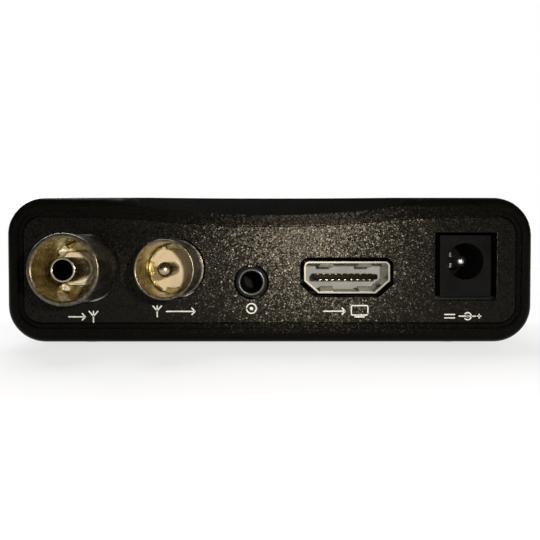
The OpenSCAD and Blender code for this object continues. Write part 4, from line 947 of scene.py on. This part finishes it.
pictureSign = {"middle": (-13.45, 5.5), "screen": (-2.2, 0.15, 2.9, 1.65, 0.2), "foot": (-3.0, -1.4),
               "footDrop": 1.0, "tail": 4.1, "tip": 0.3}
x, z = pictureSign["middle"]
across, rise, *screenSize = pictureSign["screen"]
screen = roundBox(x + across, z + rise, *screenSize, 4)
screenFoot = [(x + end, z - pictureSign["footDrop"]) for end in pictureSign["foot"]]
rearSign("pictureSign", [np.concatenate([screen, screen[:1]]), screenFoot]
         + arrowLines(x, z, pictureSign["tail"], pictureSign["tip"]))

# Direct current as a line over three dashes, and the polarity of the plug with its plus on the pin
powerSign = {"middle": (-33.95, 4.62), "row": 0.3, "bar": (3.4, 1.7), "ring": -0.6, "ringRadius": 0.62,
             "ringArc": (40, 320), "dot": 0.22, "dashes": ((3.4, 2.95), (2.77, 2.33), (2.15, 1.7)),
             "wires": ((0.9, -0.6), (-0.6, -2.0)), "plus": (-2.3, -2.9), "plusMiddle": -2.6}
x, z = powerSign["middle"]


# A level line from one distance across to another
def level(ends, rise=0.0):
    return [(x + end, z + rise) for end in ends]


row, ringX, plusX = powerSign["row"], x + powerSign["ring"], x + powerSign["plusMiddle"]
rearSign("powerSign.rear", [
    level(powerSign["bar"], row), *[level(dash, -row) for dash in powerSign["dashes"]],
    arcLine(ringX, z, powerSign["ringRadius"], *powerSign["ringArc"]),
    *[level(wire) for wire in powerSign["wires"]],
    level(powerSign["plus"]), [(plusX, z + row), (plusX, z - row)]], [dot(ringX, z, powerSign["dot"])])


# Floor: white paper that shows its own glow and the shadow near the object, and plain white far from it

floor = {"size": 3.0, "colour": (0.86, 0.86, 0.86), "rough": 0.9, "gloss": 0.1, "glow": 0.72,
         "fade": (0.1, 0.8)}
half = floor["size"] / 2
floorMesh = bpy.data.meshes.new("floor")
floorCorners = [(-half, -half, 0), (half, -half, 0), (half, half, 0), (-half, half, 0)]
floorMesh.from_pydata(floorCorners, [], [(0, 1, 2, 3)])
floorObject = bpy.data.objects.new("floor", floorMesh)
scene.collection.objects.link(floorObject)
floorMaterial = bpy.data.materials.new("floorPaper")
floorMaterial.use_nodes = True
tree = floorMaterial.node_tree
shader = tree.nodes["Principled BSDF"]
feed(tree, shader.inputs["Base Color"], floor["colour"])
feed(tree, shader.inputs["Roughness"], floor["rough"])
feed(tree, shader.inputs["Specular IOR Level"], floor["gloss"])
glow = tree.nodes.new("ShaderNodeEmission")
seen = tree.nodes.new("ShaderNodeMixShader")


# Whether a ray comes by way of a mirror or of glass
def mirroredRay(tree, path):
    return mathOf(tree, "MAXIMUM", path.outputs["Is Glossy Ray"], path.outputs["Is Transmission Ray"])


path = tree.nodes.new("ShaderNodeLightPath")
anyView = mathOf(tree, "MAXIMUM", path.outputs["Is Camera Ray"], mirroredRay(tree, path))
away = vectorOf(tree, "LENGTH", tree.nodes.new("ShaderNodeTexCoord").outputs["Object"])
share = rangeOf(tree, away, *floor["fade"], floor["glow"], 1.0)
tree.links.new(mathOf(tree, "MULTIPLY", anyView, share), seen.inputs["Fac"])
tree.links.new(shader.outputs[0], seen.inputs[1])
tree.links.new(glow.outputs[0], seen.inputs[2])
tree.links.new(seen.outputs[0], tree.nodes["Material Output"].inputs["Surface"])
floorMesh.materials.append(floorMaterial)

# World: gloss shows the white backdrop beyond the object, and a dim room on the side of the sockets
sky = {"fill": 0.07, "seen": 1.0, "behind": 0.85, "before": 0.02, "turn": (-0.8, -0.25)}
world = bpy.data.worlds.new("studio")
scene.world = world
world.use_nodes = True
tree = world.node_tree
background = tree.nodes["Background"]
feed(tree, background.inputs["Color"], (1, 1, 1))
path = tree.nodes.new("ShaderNodeLightPath")
heading = alongY(tree, tree.nodes.new("ShaderNodeTexCoord").outputs["Generated"])
backdrop = rangeOf(tree, heading, *sky["turn"], sky["behind"], sky["before"])
plain = rangeOf(tree, path.outputs["Is Camera Ray"], 0, 1, sky["fill"], sky["seen"])
tree.links.new(mixOf(tree, "FLOAT", mirroredRay(tree, path), plain, backdrop), background.inputs["Strength"])

# Lamps, in frame millimetres: a flash beside the lens, and three wide ones beyond the object
lamps = {
    "flash": {"place": (-14.5, 134.0, 23.5), "target": (0, 24, 12), "size": 5.0, "power": 0.125,
              "colour": (1.0, 0.94, 0.84)},
    "top": {"place": (60, -260, 480), "target": (0, 0, 10), "size": 320.0, "power": 2.0},
    "frontLeft": {"place": (320, -520, 260), "target": (0, 0, 10), "size": 300.0, "power": 3.2},
    "frontRight": {"place": (-420, -460, 200), "target": (0, 0, 10), "size": 300.0, "power": 2.0},
}
for name, lamp in lamps.items():
    data = bpy.data.lights.new(name, "AREA")
    data.energy = lamp["power"]
    data.size = lamp["size"] * mm
    data.color = lamp.get("colour", (1, 1, 1))
    lampObject = bpy.data.objects.new(name, data)
    scene.collection.objects.link(lampObject)
    lampObject.location = Vector(lamp["place"]) * mm
    way = Vector(lamp["target"]) - Vector(lamp["place"])
    lampObject.rotation_euler = way.to_track_quat("-Z", "Y").to_euler()
print("stage and lamps set")
